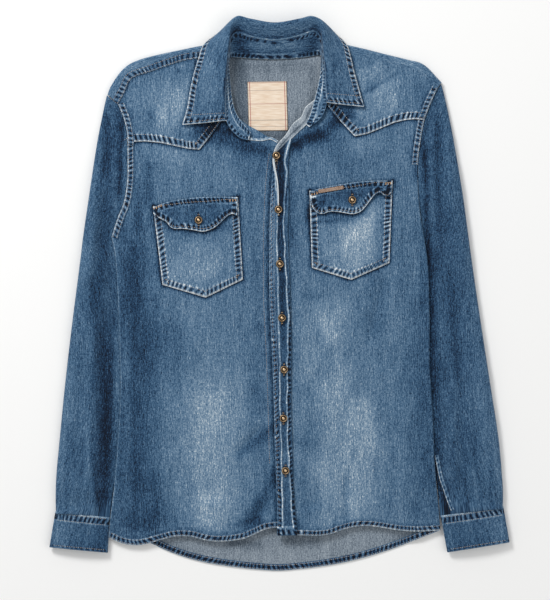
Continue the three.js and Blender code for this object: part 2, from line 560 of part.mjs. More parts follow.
function sleeveRows({ side, outer, inner, armholeStations, folds, bodySideAt, underarmY, cuffY }) {
  const armholeRows = ROWS.armholeLow + ROWS.armholeHigh;
  const armhole = armholeStations.slice(-armholeRows - 1).reverse()
    .map((point) => new THREE.Vector3(point.x + side * SLEEVE.armholeGap, point.y, 0));
  const outerCurve = curveThrough(outer);
  const outerTable = outerCurve.getSpacedPoints(SLEEVE.outerSteps);
  const outerAt = (y) => outerTable.reduce((best, point) => (
    Math.abs(point.y - y) < Math.abs(best.y - y) ? point : best));
  const below = spaced(inner, SLEEVE.rowsBelow).slice(1);
  const inners = [...armhole, ...below];
  const lastRow = inners.length - 1;
  return inners.map((innerPoint, row) => {
    const endShare = smooth((row - lastRow) / SLEEVE.endRows + 1);
    const outerY = THREE.MathUtils.lerp(innerPoint.y, outer[outer.length - 1][1], endShare);
    const start = row === 0 ? outerTable[0] : outerAt(outerY);
    const closed = row > armholeRows;
    return sleeveSection(start, innerPoint, closed);
  });

  function topHeight(x, y) {
    const out = side * (x - bodySideAt(y));
    const fromOuter = side * (outerAt(y).x - x);
    const seam = 2 * SLEEVE.innerRadius + FLOOR_MIDDLE;
    const upArmhole = smooth((y - underarmY - SLEEVE.armholeStart) / SLEEVE.armholeRise);
    const atArmhole = (EDGE_HEIGHT - seam) * upArmhole;
    const edgeRise = 2 * (SLEEVE.outerRadius - SLEEVE.innerRadius);
    const rising = smooth((out - SLEEVE.tucked) / SLEEVE.rise);
    const turned = 1 - THREE.MathUtils.clamp(fromOuter / SLEEVE.rounding, 0, 1);
    const rounding = Math.sqrt(1 - turned ** 2);
    const loft = fromTable(SLEEVE_LOFT, y);
    return seam + Math.max(atArmhole * (1 - rising), 0) + edgeRise * rising
      + Math.max((loft * rounding + foldRise(folds, x, y)) * rising, -edgeRise * SLEEVE.deepest);
  }

  function bottomHeight(y) {
    return FLOOR_MIDDLE + CUFF_LIFT * smooth((cuffY - y) / 24 + 1);
  }

  function sleeveSection(start, end, closed) {
    const width = Math.hypot(end.x - start.x, end.y - start.y);
    const at = (distance, z) => {
      const point = start.clone().lerp(end, distance / width);
      point.z = z;
      return point;
    };
    const outerRadius = Math.min(SLEEVE.outerRadius, width / 5);
    const innerRadius = closed ? SLEEVE.innerRadius : 0;
    const points = [];
    const lift = bottomHeight(end.y) - FLOOR_MIDDLE;
    if (closed) {
      points.push(at(width, bottomHeight(end.y) + innerRadius * 1.35));
    }
    for (let column = 0; column <= SLEEVE.topColumns; column += 1) {
      const share = 1 - column / SLEEVE.topColumns;
      const distance = outerRadius + (width - innerRadius - outerRadius) * share;
      const place = at(distance, 0);
      place.z = topHeight(place.x, place.y) + lift;
      points.push(place);
    }
    const topEnd = points[points.length - 1].z;
    const bottomEnd = bottomHeight(start.y);
    for (const turn of FOLD_TURNS) {
      const angle = Math.PI * turn;
      points.push(at(outerRadius * (1 - Math.sin(angle)),
        (topEnd + bottomEnd) / 2 + (topEnd - bottomEnd) / 2 * Math.cos(angle)));
    }
    for (let column = 0; column <= SLEEVE.bottomColumns; column += 1) {
      const share = column / SLEEVE.bottomColumns;
      const distance = outerRadius + (width - innerRadius - outerRadius) * share;
      points.push(at(distance, bottomHeight(THREE.MathUtils.lerp(start.y, end.y, distance / width))));
    }
    if (!closed) {
      points.unshift(points[0].clone().lerp(points[1], -0.02));
    }
    return points;
  }
}

const rightSleeve = sleeveRows({
  side: -1,
  outer: SLEEVE_RIGHT_OUTER,
  inner: SLEEVE_RIGHT_INNER,
  armholeStations: sideStationsRight,
  folds: SLEEVE_RIGHT_FOLDS,
  bodySideAt: sideRightAt,
  underarmY: ARMHOLE_RIGHT[0][1],
  cuffY: CUFF_RIGHT_ENDS.topOuter[1],
});
const leftSleeve = sleeveRows({
  side: 1,
  outer: SLEEVE_LEFT_OUTER,
  inner: SLEEVE_LEFT_INNER,
  armholeStations: sideStationsLeft,
  folds: SLEEVE_LEFT_FOLDS,
  bodySideAt: sideLeftAt,
  underarmY: ARMHOLE_LEFT[0][1],
  cuffY: CUFF_LEFT_ENDS.topOuter[1],
});
addPiece('sleeve_right', wallGeometry(rightSleeve, CLOTH), DENIM);
addPiece('sleeve_left', wallGeometry([...leftSleeve].reverse(), CLOTH), DENIM);

// Cuffs: flattened rings of stiffened cloth, propped on their button
const CUFF = {
  thickness: 1.8,
  rows: 3,
  height: 8.2,
  radius: 2.6,
  sag: 1.2,
  fullness: 0.7,
  topShares: [0, 0.2, 0.4, 0.6, 0.8, 1],
  bottomShares: [1, 0.67, 0.33, 0],
};
function cuffRows({ topOuter, topInner, hemOuter, hemInner }) {
  const rows = [];
  for (let row = 0; row <= CUFF.rows; row += 1) {
    const share = row / CUFF.rows;
    const from = new THREE.Vector2(...topOuter).lerp(new THREE.Vector2(...hemOuter), share);
    const to = new THREE.Vector2(...topInner).lerp(new THREE.Vector2(...hemInner), share);
    const low = CUFF_LIFT + CUFF.thickness / 2;
    const sag = -CUFF.sag * Math.sin(Math.PI * share);
    const width = from.distanceTo(to);
    const ring = [];
    const put = (distance, z) => {
      const place = from.clone().lerp(to, distance / width);
      ring.push(new THREE.Vector3(place.x, place.y, z));
    };
    for (const over of CUFF.topShares) {
      const hump = Math.sin(Math.PI * over) ** CUFF.fullness;
      put(CUFF.radius + (width - 2 * CUFF.radius) * over,
        low + 2 * CUFF.radius + (CUFF.height - 2 * CUFF.radius + sag) * hump);
    }
    for (const turn of FOLD_TURNS) {
      put(width - CUFF.radius * (1 - Math.sin(Math.PI * turn)),
        low + CUFF.radius * (1 + Math.cos(Math.PI * turn)));
    }
    for (const over of CUFF.bottomShares) {
      put(CUFF.radius + (width - 2 * CUFF.radius) * over, low);
    }
    for (const turn of FOLD_TURNS) {
      put(CUFF.radius * (1 - Math.sin(Math.PI * turn)),
        low + CUFF.radius * (1 - Math.cos(Math.PI * turn)));
    }
    rows.push(ring);
  }
  return rows;
}

// A ring-shaped wall: the rows close on themselves
function ringGeometry(rows, thickness) {
  const count = rows[0].length;
  const half = thickness / 2;
  const positions = [];
  for (const side of [1, -1]) {
    rows.forEach((ring, row) => ring.forEach((point, column) => {
      const across = ring[(column + 1) % count].clone().sub(ring[(column + count - 1) % count]);
      const along = rows[Math.min(row + 1, rows.length - 1)][column].clone()
        .sub(rows[Math.max(row - 1, 0)][column]);
      const moved = point.clone().addScaledVector(across.cross(along).normalize(), side * half);
      positions.push(moved.x, moved.y, moved.z);
    }));
  }
  const shift = rows.length * count;
  const triangles = [];
  const quad = (a, b, c, d) => triangles.push(a, b, c, a, c, d);
  for (let column = 0; column < count; column += 1) {
    const next = (column + 1) % count;
    for (let row = 0; row + 1 < rows.length; row += 1) {
      const [low, high] = [row * count, (row + 1) * count];
      quad(low + column, low + next, high + next, high + column);
      quad(shift + low + next, shift + low + column, shift + high + column, shift + high + next);
    }
    const end = (rows.length - 1) * count;
    quad(next, column, shift + column, shift + next);
    quad(end + column, end + next, shift + end + next, shift + end + column);
  }
  const geometry = new THREE.BufferGeometry();
  geometry.setAttribute('position', new THREE.Float32BufferAttribute(positions, 3));
  geometry.setIndex(triangles);
  return geometry;
}

const cuffRight = cuffRows(CUFF_RIGHT_ENDS).reverse();
const cuffLeft = cuffRows(CUFF_LEFT_ENDS);
addPiece('cuff_right', ringGeometry(cuffRight, CUFF.thickness), DENIM_DARK);
addPiece('cuff_left', ringGeometry(cuffLeft, CUFF.thickness), DENIM_DARK);

// Collar: the stand and the leaf share their seam's stations
const collarCurve = (column, first, last) => curveThrough(
  COLLAR.slice(first, last + 1).map((section) => section[column]));
const seatCurve = collarCurve('seat', 0, COLLAR.length - 1);
const topCurve = collarCurve('top', 0, COLLAR.length - 1);
const rollCurve = collarCurve('roll', LEAF_FIRST, LEAF_LAST);
const fallCurve = collarCurve('fall', LEAF_FIRST, LEAF_LAST);
const edgeCurve = collarCurve('edge', LEAF_FIRST, LEAF_LAST);
const STAND_COLUMNS = 2;
const LEAF_ACROSS = [0, 0.12, 0.3, 0.44, 0.6, 0.8, 1];

const standRows = [];
for (let step = 0; step <= 2 * (COLLAR.length - 1); step += 1) {
  const station = step / (2 * (COLLAR.length - 1));
  const seat = seatCurve.getPoint(station);
  const top = topCurve.getPoint(station);
  const row = [];
  for (let column = 0; column <= STAND_COLUMNS; column += 1) {
    row.push(seat.clone().lerp(top, column / STAND_COLUMNS));
  }
  standRows.push(row);
}
addPiece('collar_stand', wallGeometry(standRows, CLOTH), DENIM_PALE);

const leafRows = [];
for (let step = 0; step <= 2 * (LEAF_LAST - LEAF_FIRST); step += 1) {
  const share = step / (2 * (LEAF_LAST - LEAF_FIRST));
  const station = (LEAF_FIRST + share * (LEAF_LAST - LEAF_FIRST)) / (COLLAR.length - 1);
  const seam = topCurve.getPoint(station);
  const toTop = seam.clone().sub(seatCurve.getPoint(station)).normalize();
  seam.addScaledVector(toTop, 3 * SEAM_GAP);
  const section = new THREE.CatmullRomCurve3([seam, rollCurve.getPoint(share), fallCurve.getPoint(share),
    edgeCurve.getPoint(share)], false, 'centripetal');
  leafRows.push(LEAF_ACROSS.map((across) => section.getPoint(across)));
}
addPiece('collar_leaf', wallGeometry(leafRows, CLOTH), DENIM_DARK);

// Placket with its two puckered ridges
const PLACKET_ROWS = 30;
const placketLeft = spaced(PLACKET_EDGE, PLACKET_ROWS);
const placketRight = spaced(PLACKET_SEAM, PLACKET_ROWS);
const placketLayer = (x, y) => leftFrontHeight(x, y) + LAYER + LAYER_SLACK;
const placketRows = placketLeft.map((start, row) => PLACKET_SECTION.map(([share, rise]) => {
  const point = start.clone().lerp(placketRight[row], share);
  point.z = placketLayer(point.x, point.y) + rise;
  return point;
}));
addPiece('placket', wallGeometry(placketRows, CLOTH), DENIM_DARK);

// Light folded edge of the left front at the neck, wrong side out
const FACING = {
  width: 10.5,
  narrow: 0.35,
  widening: 3,
  rise: LAYER + 2 * LAYER_SLACK,
  gap: 1.5,
  steps: 10,
  firstPlace: 3,
};
const facingLine = spaced(NECK_LEFT.slice(FACING.firstPlace), FACING.steps);
const facingRows = facingLine.map((point, index) => {
  const ahead = facingLine[Math.min(index + 1, FACING.steps)];
  const behind = facingLine[Math.max(index - 1, 0)];
  const inward = new THREE.Vector3(ahead.y - behind.y, behind.x - ahead.x, 0).normalize();
  const width = FACING.width * THREE.MathUtils.lerp(FACING.narrow, 1, smooth(index / FACING.widening));
  return [0, 0.5, 1].map((share) => {
    const place = point.clone().addScaledVector(inward, FACING.gap + width * share);
    place.z = frontHeight(place.x, place.y) + FACING.rise;
    return place;
  });
});
addPiece('neck_facing', wallGeometry(facingRows, CLOTH), DENIM_PALE);

// Pockets, cut from the layer above each front, and their flaps two layers up
addPiece('pocket_right', cutFromLayer(layerRight, POCKET_RIGHT.corners), DENIM);
addPiece('pocket_left', cutFromLayer(layerLeft, POCKET_LEFT.corners), DENIM);

const FLAP = { rows: 4, columns: 12, curlWidth: 0.14 };
const FLAP_BASE = 2 * (LAYER + LAYER_SLACK);
function flapRows({ top, flap, cornerCurl }, height) {
  const upper = spaced(top, FLAP.columns);
  const lower = spaced(flap, FLAP.columns);
  const rows = [];
  for (let row = 0; row <= FLAP.rows; row += 1) {
    const down = 1 - row / FLAP.rows;
    rows.push(upper.map((start, column) => {
      const point = start.clone().lerp(lower[column], down);
      const fromCorner = column / FLAP.columns / FLAP.curlWidth;
      const curl = cornerCurl * Math.exp(-(fromCorner ** 2)) * down;
      point.z = height(point.x, point.y) + FLAP_BASE + FLAP_LIFT * down * down + curl;
      return point;
    }));
  }
  return rows;
}
const flapRight = flapRows(POCKET_RIGHT, frontHeight);
const flapLeft = flapRows(POCKET_LEFT, leftFrontHeight);
addPiece('flap_right', wallGeometry(flapRight, CLOTH), DENIM_DARK);
addPiece('flap_left', wallGeometry(flapLeft, CLOTH), DENIM_DARK);

// Label inside the back yoke, and the leather tab on the left flap
const flatPatch = ([a, b, c, d], columns, rowsCount, height) => {
  const rows = [];
  for (let row = 0; row <= rowsCount; row += 1) {
    const from = cornerAt(a).lerp(cornerAt(b), row / rowsCount);
    const to = cornerAt(d).lerp(cornerAt(c), row / rowsCount);
    const points = [];
    for (let column = 0; column <= columns; column += 1) {
      const point = from.clone().lerp(to, column / columns);
      point.z = height(point.x, point.y);
      points.push(point);
    }
    rows.push(points);
  }
  return rows;
};
const labelHeight = () => CLOTH + SEAM_GAP + LABEL.thickness / 2;
const labelRows = flatPatch(LABEL.corners, 3, 3, labelHeight);
addPiece('neck_label', wallGeometry(labelRows, LABEL.thickness), LABEL_CLOTH);

const tabHeight = (x, y) => leftFrontHeight(x, y) + FLAP_BASE + CLOTH / 2 + SEAM_GAP
  + LAYER_SLACK + TAB.thickness / 2;
const tabRows = flatPatch(TAB.corners, 4, 1, tabHeight);
addPiece('pocket_tab', wallGeometry(tabRows, TAB.thickness), TAN_LEATHER);

// Buttons: a dished disc with a rounded rim
const BUTTON_PROFILE = [[0, 0], [0.86, 0], [1, 0.45], [0.8, 1], [0.55, 0.62], [0, 0.5]];
const BUTTON_SIDES = 12;
function buttonGeometry() {
  const profile = BUTTON_PROFILE.map(([out, up]) => new THREE.Vector2(
    out * BUTTON_DIAMETER / 2, up * BUTTON_THICKNESS));
  const geometry = new THREE.LatheGeometry(profile, BUTTON_SIDES);
  geometry.rotateX(Math.PI / 2);
  return geometry;
}
function addButton(name, [x, y], z) {
  addPiece(name, buttonGeometry(), BRASS);
  shirt.children[shirt.children.length - 1].position.set(x, y, z);
}
const pucker = Math.max(...PLACKET_SECTION.map(([, rise]) => rise));
BUTTONS.forEach((place, index) => addButton(`button_${index + 1}`, place,
  placketLayer(...place) + pucker + CLOTH / 2 + SEAM_GAP));
const flapTop = ({ button, buttonDown }, height) => height(...button) + FLAP_BASE
  + FLAP_LIFT * buttonDown ** 2 + CLOTH / 2 + SEAM_GAP;
addButton('flap_button_right', POCKET_RIGHT.button, flapTop(POCKET_RIGHT, frontHeight));
addButton('flap_button_left', POCKET_LEFT.button, flapTop(POCKET_LEFT, leftFrontHeight));
addButton('collar_button', COLLAR_BUTTON, frontHeight(...COLLAR_BUTTON) + CLOTH / 2 + SEAM_GAP);
addButton('cuff_button_right', CUFF_BUTTON_RIGHT, FLOOR_CLEARANCE);
addButton('cuff_button_left', CUFF_BUTTON_LEFT, FLOOR_CLEARANCE);

export default shirt;
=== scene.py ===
"""Western denim shirt laid flat, front up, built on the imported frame.

Places are in millimetres as in the part's source, +X to the wearer's left and +Y from hem to
collar, and turn to metres where a mesh is made.
"""
import math

import bmesh
import bpy
import numpy as np
from mathutils import Matrix, Vector


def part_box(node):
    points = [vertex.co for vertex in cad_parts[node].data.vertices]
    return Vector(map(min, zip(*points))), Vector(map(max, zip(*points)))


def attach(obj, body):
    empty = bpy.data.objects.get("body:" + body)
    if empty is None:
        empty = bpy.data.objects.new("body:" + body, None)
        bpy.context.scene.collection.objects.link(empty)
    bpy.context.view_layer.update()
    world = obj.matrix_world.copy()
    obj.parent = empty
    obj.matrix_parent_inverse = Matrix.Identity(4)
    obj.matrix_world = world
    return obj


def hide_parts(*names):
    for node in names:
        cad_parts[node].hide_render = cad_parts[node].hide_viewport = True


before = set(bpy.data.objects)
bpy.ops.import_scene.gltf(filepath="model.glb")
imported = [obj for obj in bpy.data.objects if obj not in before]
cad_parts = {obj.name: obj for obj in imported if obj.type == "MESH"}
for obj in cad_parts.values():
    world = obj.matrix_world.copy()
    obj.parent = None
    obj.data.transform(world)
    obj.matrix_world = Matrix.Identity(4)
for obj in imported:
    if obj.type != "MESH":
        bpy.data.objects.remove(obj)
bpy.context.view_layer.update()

# Fronts
# The two fronts are cut from washed indigo denim, a 3/1 twill with blue warp and white weft. The
# left one lies over the right one. Their sides drop to the side seams, and the wash has left them
# pale down the middle and dark at the sides.

MM = 0.001
CLOTH = 1.0
GAP = 0.4
LAYER = 1.2 + GAP
SLACK = 0.15
FLOOR = 0.6
EDGE_HEIGHT = 6.7
OVERLAP = 24

SIDE_RIGHT = [
    (-241.8, -345), (-240.2, -321), (-233.5, -264), (-228, -193), (-225, -129), (-226.5, -72.5),
    (-229.5, 5.5), (-233, 55.5), (-238, 81),
]
ARMHOLE_RIGHT = [
    (-238, 81), (-229.5, 108), (-221, 129), (-216, 160), (-215.5, 201.5), (-216, 226),
    (-220, 245.5), (-228.5, 268.5),
]
SIDE_LEFT = [
    (228, -335), (225, -297), (220, -243), (217.5, -179), (213, -101), (212.5, -22.5),
    (210, 45.5), (205, 79.5), (201, 102),
]
ARMHOLE_LEFT = [
    (201, 102), (197.5, 133.5), (196, 165), (196.5, 190.5), (199, 210), (205, 244), (213.5, 268.5),
    (224, 291.5),
]
HEM_RIGHT = [
    (-241.8, -345), (-228, -351.5), (-212.5, -355.5), (-195, -355.5), (-167, -348),
    (-148.5, -343.5), (-127, -343.5), (-106, -348.5), (-87.5, -350.5), (-67.5, -349.5),
    (-49, -346), (-33.5, -339.5), (-19, -333), (-5, -331), (20, -331),
]
HEM_LEFT = [
    (-3.5, -342), (25, -341.5), (57.5, -342), (71.5, -340), (86, -335), (100, -331),
    (117, -328.5), (135.5, -329.5), (154, -332.5), (171, -335), (192.5, -336.5), (211, -336),
    (228, -335),
]
SHOULDER_SEAM_RIGHT = [
    (-228.5, 268.5), (-223.5, 277.5), (-218, 288.5), (-212.5, 301), (-205, 307), (-184, 314),
    (-158.5, 323), (-130, 331.5), (-102, 334), (-75.5, 332.5),
]
SHOULDER_SEAM_LEFT = [
    (224, 291.5), (213.5, 302.5), (204, 311.5), (196.5, 317), (183.5, 320.5), (149, 329),
    (115, 337), (88, 341), (63, 339.5),
]
NECK_RIGHT = [
    (-75.5, 332.5), (-74, 315), (-72.5, 295.5), (-70.5, 275.5), (-67, 260), (-58, 250),
    (-47.5, 241), (-30.5, 231.5), (-13.5, 221), (11, 209),
]
NECK_LEFT = [
    (63, 339.5), (62, 315), (59, 294), (53, 274), (47.5, 258.5), (39, 243), (27.5, 231.5),
    (16.5, 221), (5, 210), (-6, 199.5),
]
PLACKET_EDGE = [
    (-3.5, -342), (-3, -306.5), (-4.5, -264), (-6.5, -207.5), (-8, -150.5), (-10, -93.5),
    (-12, -51), (-14, -8.5), (-14, 91), (-12.5, 133.5), (-10, 169), (-6, 199.5),
]

# Heights of the fronts' crown above the surface, columns y and height
CROWN = [
    (-392, 8), (-345, 8.5), (-200, 10.5), (0, 11), (120, 10), (200, 8), (260, 6.8), (340, 6.5),
]

# Folds, columns start x, start y, end x, end y, half width and rise (a trough is negative)
BODY_FOLDS = [
    (-22, -190, -62, -228, 9, -2.2), (-22, -298, -50, -338, 9, -2.4),
    (-92, -290, -92, -352, 22, 2.4), (-198, 40, -206, -330, 16, -1.6),
    (150, 27, 126, -75, 12, -2), (48, -300, 56, -345, 20, 2.6), (93, -250, 96, -332, 9, -1.6),
    (-150, -330, -146, -230, 12, -1.5), (-120, -40, -132, -210, 16, 1.2),
    (176, -120, 182, -300, 14, 1.3), (70, -40, 62, -210, 18, 1.1), (121, 290, 171, 315, 14, -0.8),
    (-190, 255, -150, 232, 14, 0.8),
]

# Small creases that the cloth keeps from wear, the same columns
BODY_CREASES = [
    (-22, -182, -48, -214, 3.5, -0.8), (-10, -285, -44, -332, 3, -0.9),
    (148, 28, 130, -62, 4, -0.7), (94, -262, 93, -322, 3, -0.6), (-188, 20, -196, -120, 5, -0.5),
    (-60, 175, -20, 120, 7, -0.6), (40, 200, 75, 178, 7, -0.6), (-150, 205, -120, 175, 8, -0.4),
    (150, 205, 185, 160, 8, -0.5), (-40, 20, -30, -60, 6, 0.5), (30, 30, 36, -70, 6, 0.5),
    (-214, 60, -190, 10, 6, -0.6), (203, 60, 186, 5, 6, -0.6), (-70, -230, -20, -255, 7, 0.5),
    (120, 88, 100, 60, 5, -0.3), (-205, -230, -180, -330, 7, -0.5),
    (205, -260, 190, -325, 7, -0.5),
]

# How the fronts have faded, with painted shade under the collar, along the armholes and in the
# creases, the same columns with the strength last: pale is positive
BODY_WASH_AND_SHADE = [
    (-92, -110, -84, -330, 46, 0.62), (-112, -40, -100, -200, 58, 0.22),
    (-110, 190, -110, 150, 60, 0.1), (-208, 120, -211, -335, 28, -1.1),
    (-25, 150, -35, -330, 18, -0.22), (60, -90, 104, -320, 40, 0.62), (62, 0, 70, -150, 34, 0.32),
    (110, 10, 112, -80, 40, 0.08), (205, 120, 214, -330, 26, -0.62), (38, 20, 34, -280, 14, 0.22),
    (148, 25, 128, -66, 12, -0.35), (100, 220, 60, 195, 30, -0.3),
    (-60, 215, -15, 170, 30, -0.25), (6, -176, -64, -234, 8, -0.75),
    (-12, -285, -46, -335, 9, -0.5), (94, -255, 93, -330, 6, -0.4),
    (-113, 227, -48, 210, 10, -1.0), (15, 206, 65, 233, 10, -1.1), (65, 236, 103, 253, 10, -1.1),
    (-198, 162, -202, 84, 7, -0.5), (-177, 197, -120, 197, 14, 0.35),
    (-198, -58, -134, -58, 31, -0.4), (-181, -94, -175, -222, 11, -0.2),
    (-184, -250, -173, -328, 17, -0.55), (-106, -278, -96, -328, 20, 0.5),
    (-120, -151, -96, -222, 20, 0.15), (-217, -9, -217, -264, 7, 0.3),
    (2, -246, -46, -322, 9, -0.75), (-25, -40, -39, -60, 7, -0.35), (19, 169, 18, 55, 9, -0.4),
    (55, 126, 38, 116, 10, -0.45), (58, -51, 79, -44, 20, 0.35), (26, -143, 79, -101, 14, -0.5),
    (117, -143, 134, -229, 17, 0.5), (60, -207, 69, -328, 11, 0.3),
    (33, -193, 36, -321, 6, -0.35), (178, -293, 207, -321, 11, -0.3), (192, 77, 197, -9, 6, 0.4),
    (198, 233, 195, 155, 7, -0.5), (150, 70, 121, -9, 9, -0.2), (143, 219, 86, 196, 11, 0.25),
    (-52, 209, -11, 203, 9, -1.0), (8, 203, 29, 213, 9, -0.8),
    (-219, -328, -163, -335, 14, -0.45), (-120, -322, -77, -332, 11, 0.45),
    (198, 254, 197, 159, 6, -0.5), (86, -293, 117, -310, 14, 0.3),
    (-198, -80, -127, -101, 26, -0.2), (43, 126, 38, 98, 9, -0.4), (-104, 239, -55, 226, 7, -1.2),
    (-142, 229, -106, 219, 7, -0.6), (22, 220, 78, 226, 10, -0.7),
    (-186, 195, -184, 124, 9, -0.7), (-66, -327, -22, -321, 8, -0.6),
    (12, -321, 34, -331, 7, -0.5), (40, -130, 52, -235, 12, -0.35),
    (118, -140, 112, -340, 26, 0.25), (-125, -135, -115, -285, 26, 0.2),
    (-34, -124, -30, -180, 12, -0.35), (-58, -168, -8, -186, 7, 0.2), (77, 0, 82, -72, 18, 0.3),
    (30, 1, 62, -7, 8, -0.4), (-46, 212, -44, 122, 14, -0.25), (39, 124, 42, 72, 7, -0.5),
    (68, -310, 48, -345, 14, 0.4), (26, -205, 66, -235, 12, -0.25),
    (-262, -315, -135, -320, 24, -0.35), (-140, -30, -135, -200, 34, -0.15),
    (-216, -70, -214, -310, 8, 0.3), (16, 212, 14, -80, 5, -0.35),
    (-150, -20, -90, -30, 18, 0.16), (70, 170, 160, 190, 26, -0.12),
    (-160, 165, -70, 160, 20, -0.1),
]


def smooth(value):
    """A soft step from 0 to 1."""
    value = np.clip(value, 0, 1)
    return value * value * (3 - 2 * value)


def curve_at(points, share):
    """Points of a centripetal Catmull-Rom curve through points, at shares of its stations."""
    points = np.array([tuple(p) + (0,) * (3 - len(p)) for p in points], float)
    padded = np.vstack([2 * points[0] - points[1], points, 2 * points[-1] - points[-2]])
    station = np.clip(np.atleast_1d(np.asarray(share, float)), 0, 1) * (len(points) - 1)
    segment = np.minimum(station.astype(int), len(points) - 2)
    part = (station - segment)[:, None]
    before, near, far, after = (padded[segment + step] for step in range(4))
    lead, span, rest = (
        np.maximum(np.sum((end - start) ** 2, axis=1) ** 0.25, 1e-4)[:, None]
        for start, end in ((before, near), (near, far), (far, after))
    )
    leaving = ((near - before) / lead - (far - before) / (lead + span) + (far - near) / span) * span
    arriving = ((far - near) / span - (after - near) / (span + rest) + (after - far) / rest) * span
    return (
        near + leaving * part + (3 * (far - near) - 2 * leaving - arriving) * part**2
        + (2 * (near - far) + leaving + arriving) * part**3
    )


def run_of(line):
    """Length along a polyline at each of its points."""
    return np.concatenate([[0], np.cumsum(np.linalg.norm(np.diff(line, axis=0), axis=1))])


def lengths(points, axis):
    """Length along a grid from its first point, up its columns (axis 0) or its rows (axis 1)."""
    steps = np.linalg.norm(np.diff(points, axis=axis, prepend=points.take([0], axis)), axis=2)
    return np.cumsum(steps, axis=axis)


def along_line(line, at):
    """Points of a polyline at lengths along it."""
    run = run_of(line)
    return np.column_stack([np.interp(at, run, line[:, axis]) for axis in range(3)])


def length_of(line):
    return float(np.sum(np.linalg.norm(np.diff(line, axis=0), axis=1)))


def spaced(points, count):
    """Evenly spaced points on the smooth curve through points."""
    dense = curve_at(points, np.linspace(0, 1, 60 * len(points)))
    return along_line(dense, np.linspace(0, length_of(dense), count + 1))


def straight(points, count):
    """Evenly spaced points on straight runs between corners, with the corners kept sharp."""
    line = np.array([tuple(p) + (0,) * (3 - len(p)) for p in points], float)
    return along_line(line, np.linspace(0, length_of(line), count + 1))


def across_at(outline):
    """A lookup of an outline's place across at a height y in plan."""
    table = sorted((y, x) for x, y in outline)
    keys = [y for y, _ in table]
    values = [x for _, x in table]
    return lambda y: np.interp(y, keys, values)


def at_grid(height, points):
    """What a function of places in plan gives at a grid's points."""
    return height(points[..., 0], points[..., 1])


def rises(table, x, y):
    """Sum of the soft lines of a table at places in plan."""
    total = np.zeros(np.broadcast(x, y).shape)
    for start_x, start_y, end_x, end_y, half_width, height in table:
        along_x = end_x - start_x
        along_y = end_y - start_y
        length = math.hypot(along_x, along_y)
        share = ((x - start_x) * along_x + (y - start_y) * along_y) / length**2
        offset = ((x - start_x) * along_y - (y - start_y) * along_x) / length
        taper = smooth(share / 0.3 + 0.3) * smooth((1 - share) / 0.3 + 0.3)
        total = total + height * taper * np.exp(-((offset / half_width) ** 2))
    return total


def marks_on(table, points):
    """The soft lines of a table at a grid's points."""
    return rises(table, points[..., 0], points[..., 1])


# Waves that make the laid cloth uneven, columns length in mm, direction in degrees, rise, phase
RIPPLES = [
    (61, 12, 0.16, 0.4), (43, 75, 0.13, 1.9), (29, -28, 0.1, 3.1), (19, 52, 0.06, 0.8),
    (83, -60, 0.18, 2.2), (13, 8, 0.035, 4.0),
]


def ripple(x, y):
    """The sum of the uneven waves at places in plan."""
    total = 0
    for length, direction, rise, phase in RIPPLES:
        turn = math.radians(direction)
        run = (x * math.cos(turn) + y * math.sin(turn)
               + 9 * np.sin(x / 67 + phase) + 7 * np.sin(y / 53))
        total = total + rise * np.sin(2 * math.pi * run / length + phase)
    return total


side_right_at = across_at(SIDE_RIGHT + ARMHOLE_RIGHT)
side_left_at = across_at(SIDE_LEFT + ARMHOLE_LEFT)
placket_edge_at = across_at(PLACKET_EDGE)
crown_at = across_at([(height, y) for y, height in CROWN])


def front_height(x, y):
    """Height of the fronts' cloth: low at both sides, crowned between them, with its folds."""
    right = side_right_at(y)
    left = side_left_at(y)
    share = np.abs(np.clip((2 * x - right - left) / (left - right), -1, 1))
    inner = smooth((1 - share) * 6)
    relief = rises(BODY_FOLDS, x, y) + rises(BODY_CREASES, x, y) + ripple(x, y)
    return EDGE_HEIGHT + (crown_at(y) - EDGE_HEIGHT) * (1 - share**3) + relief * inner


def left_front_height(x, y):
    """The same for the left front, one layer up where it lies over the right one."""
    beside = x - placket_edge_at(y) - OVERLAP - 6
    return front_height(x, y) + (LAYER + 0.1) * (1 - smooth(beside / 35))


def panel(left, right, bottom, top):
    """Plan between four edges: straight rows that bend to the bottom and top edges."""
    up = np.linspace(0, 1, len(left))[:, None, None]
    over = np.linspace(0, 1, len(bottom))[:, None]
    ruled = left[:, None] * (1 - over) + right[:, None] * over
    to_bottom = bottom - (left[0] * (1 - over) + right[0] * over)
    to_top = top - (left[-1] * (1 - over) + right[-1] * over)
    return ruled + to_bottom * (1 - up) ** 3 + to_top * up**3


def on_height(plan, height):
    """A grid in plan raised to the height that a function gives."""
    points = plan.copy()
    points[..., 2] = at_grid(height, plan)
    return points


def normals_of(points):
    """Directions square to a grid of points."""
    across = np.gradient(points, axis=1)
    along = np.gradient(points, axis=0)
    square = np.cross(across, along)
    return square / np.maximum(np.linalg.norm(square, axis=2, keepdims=True), 1e-9)


def put_in_scene(name, mesh):
    """An object at the origin that carries a finished mesh on the shirt's one body."""
    piece = bpy.data.objects.new(name, mesh)
    bpy.context.scene.collection.objects.link(piece)
    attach(piece, "root")
    return piece


sheets = {}


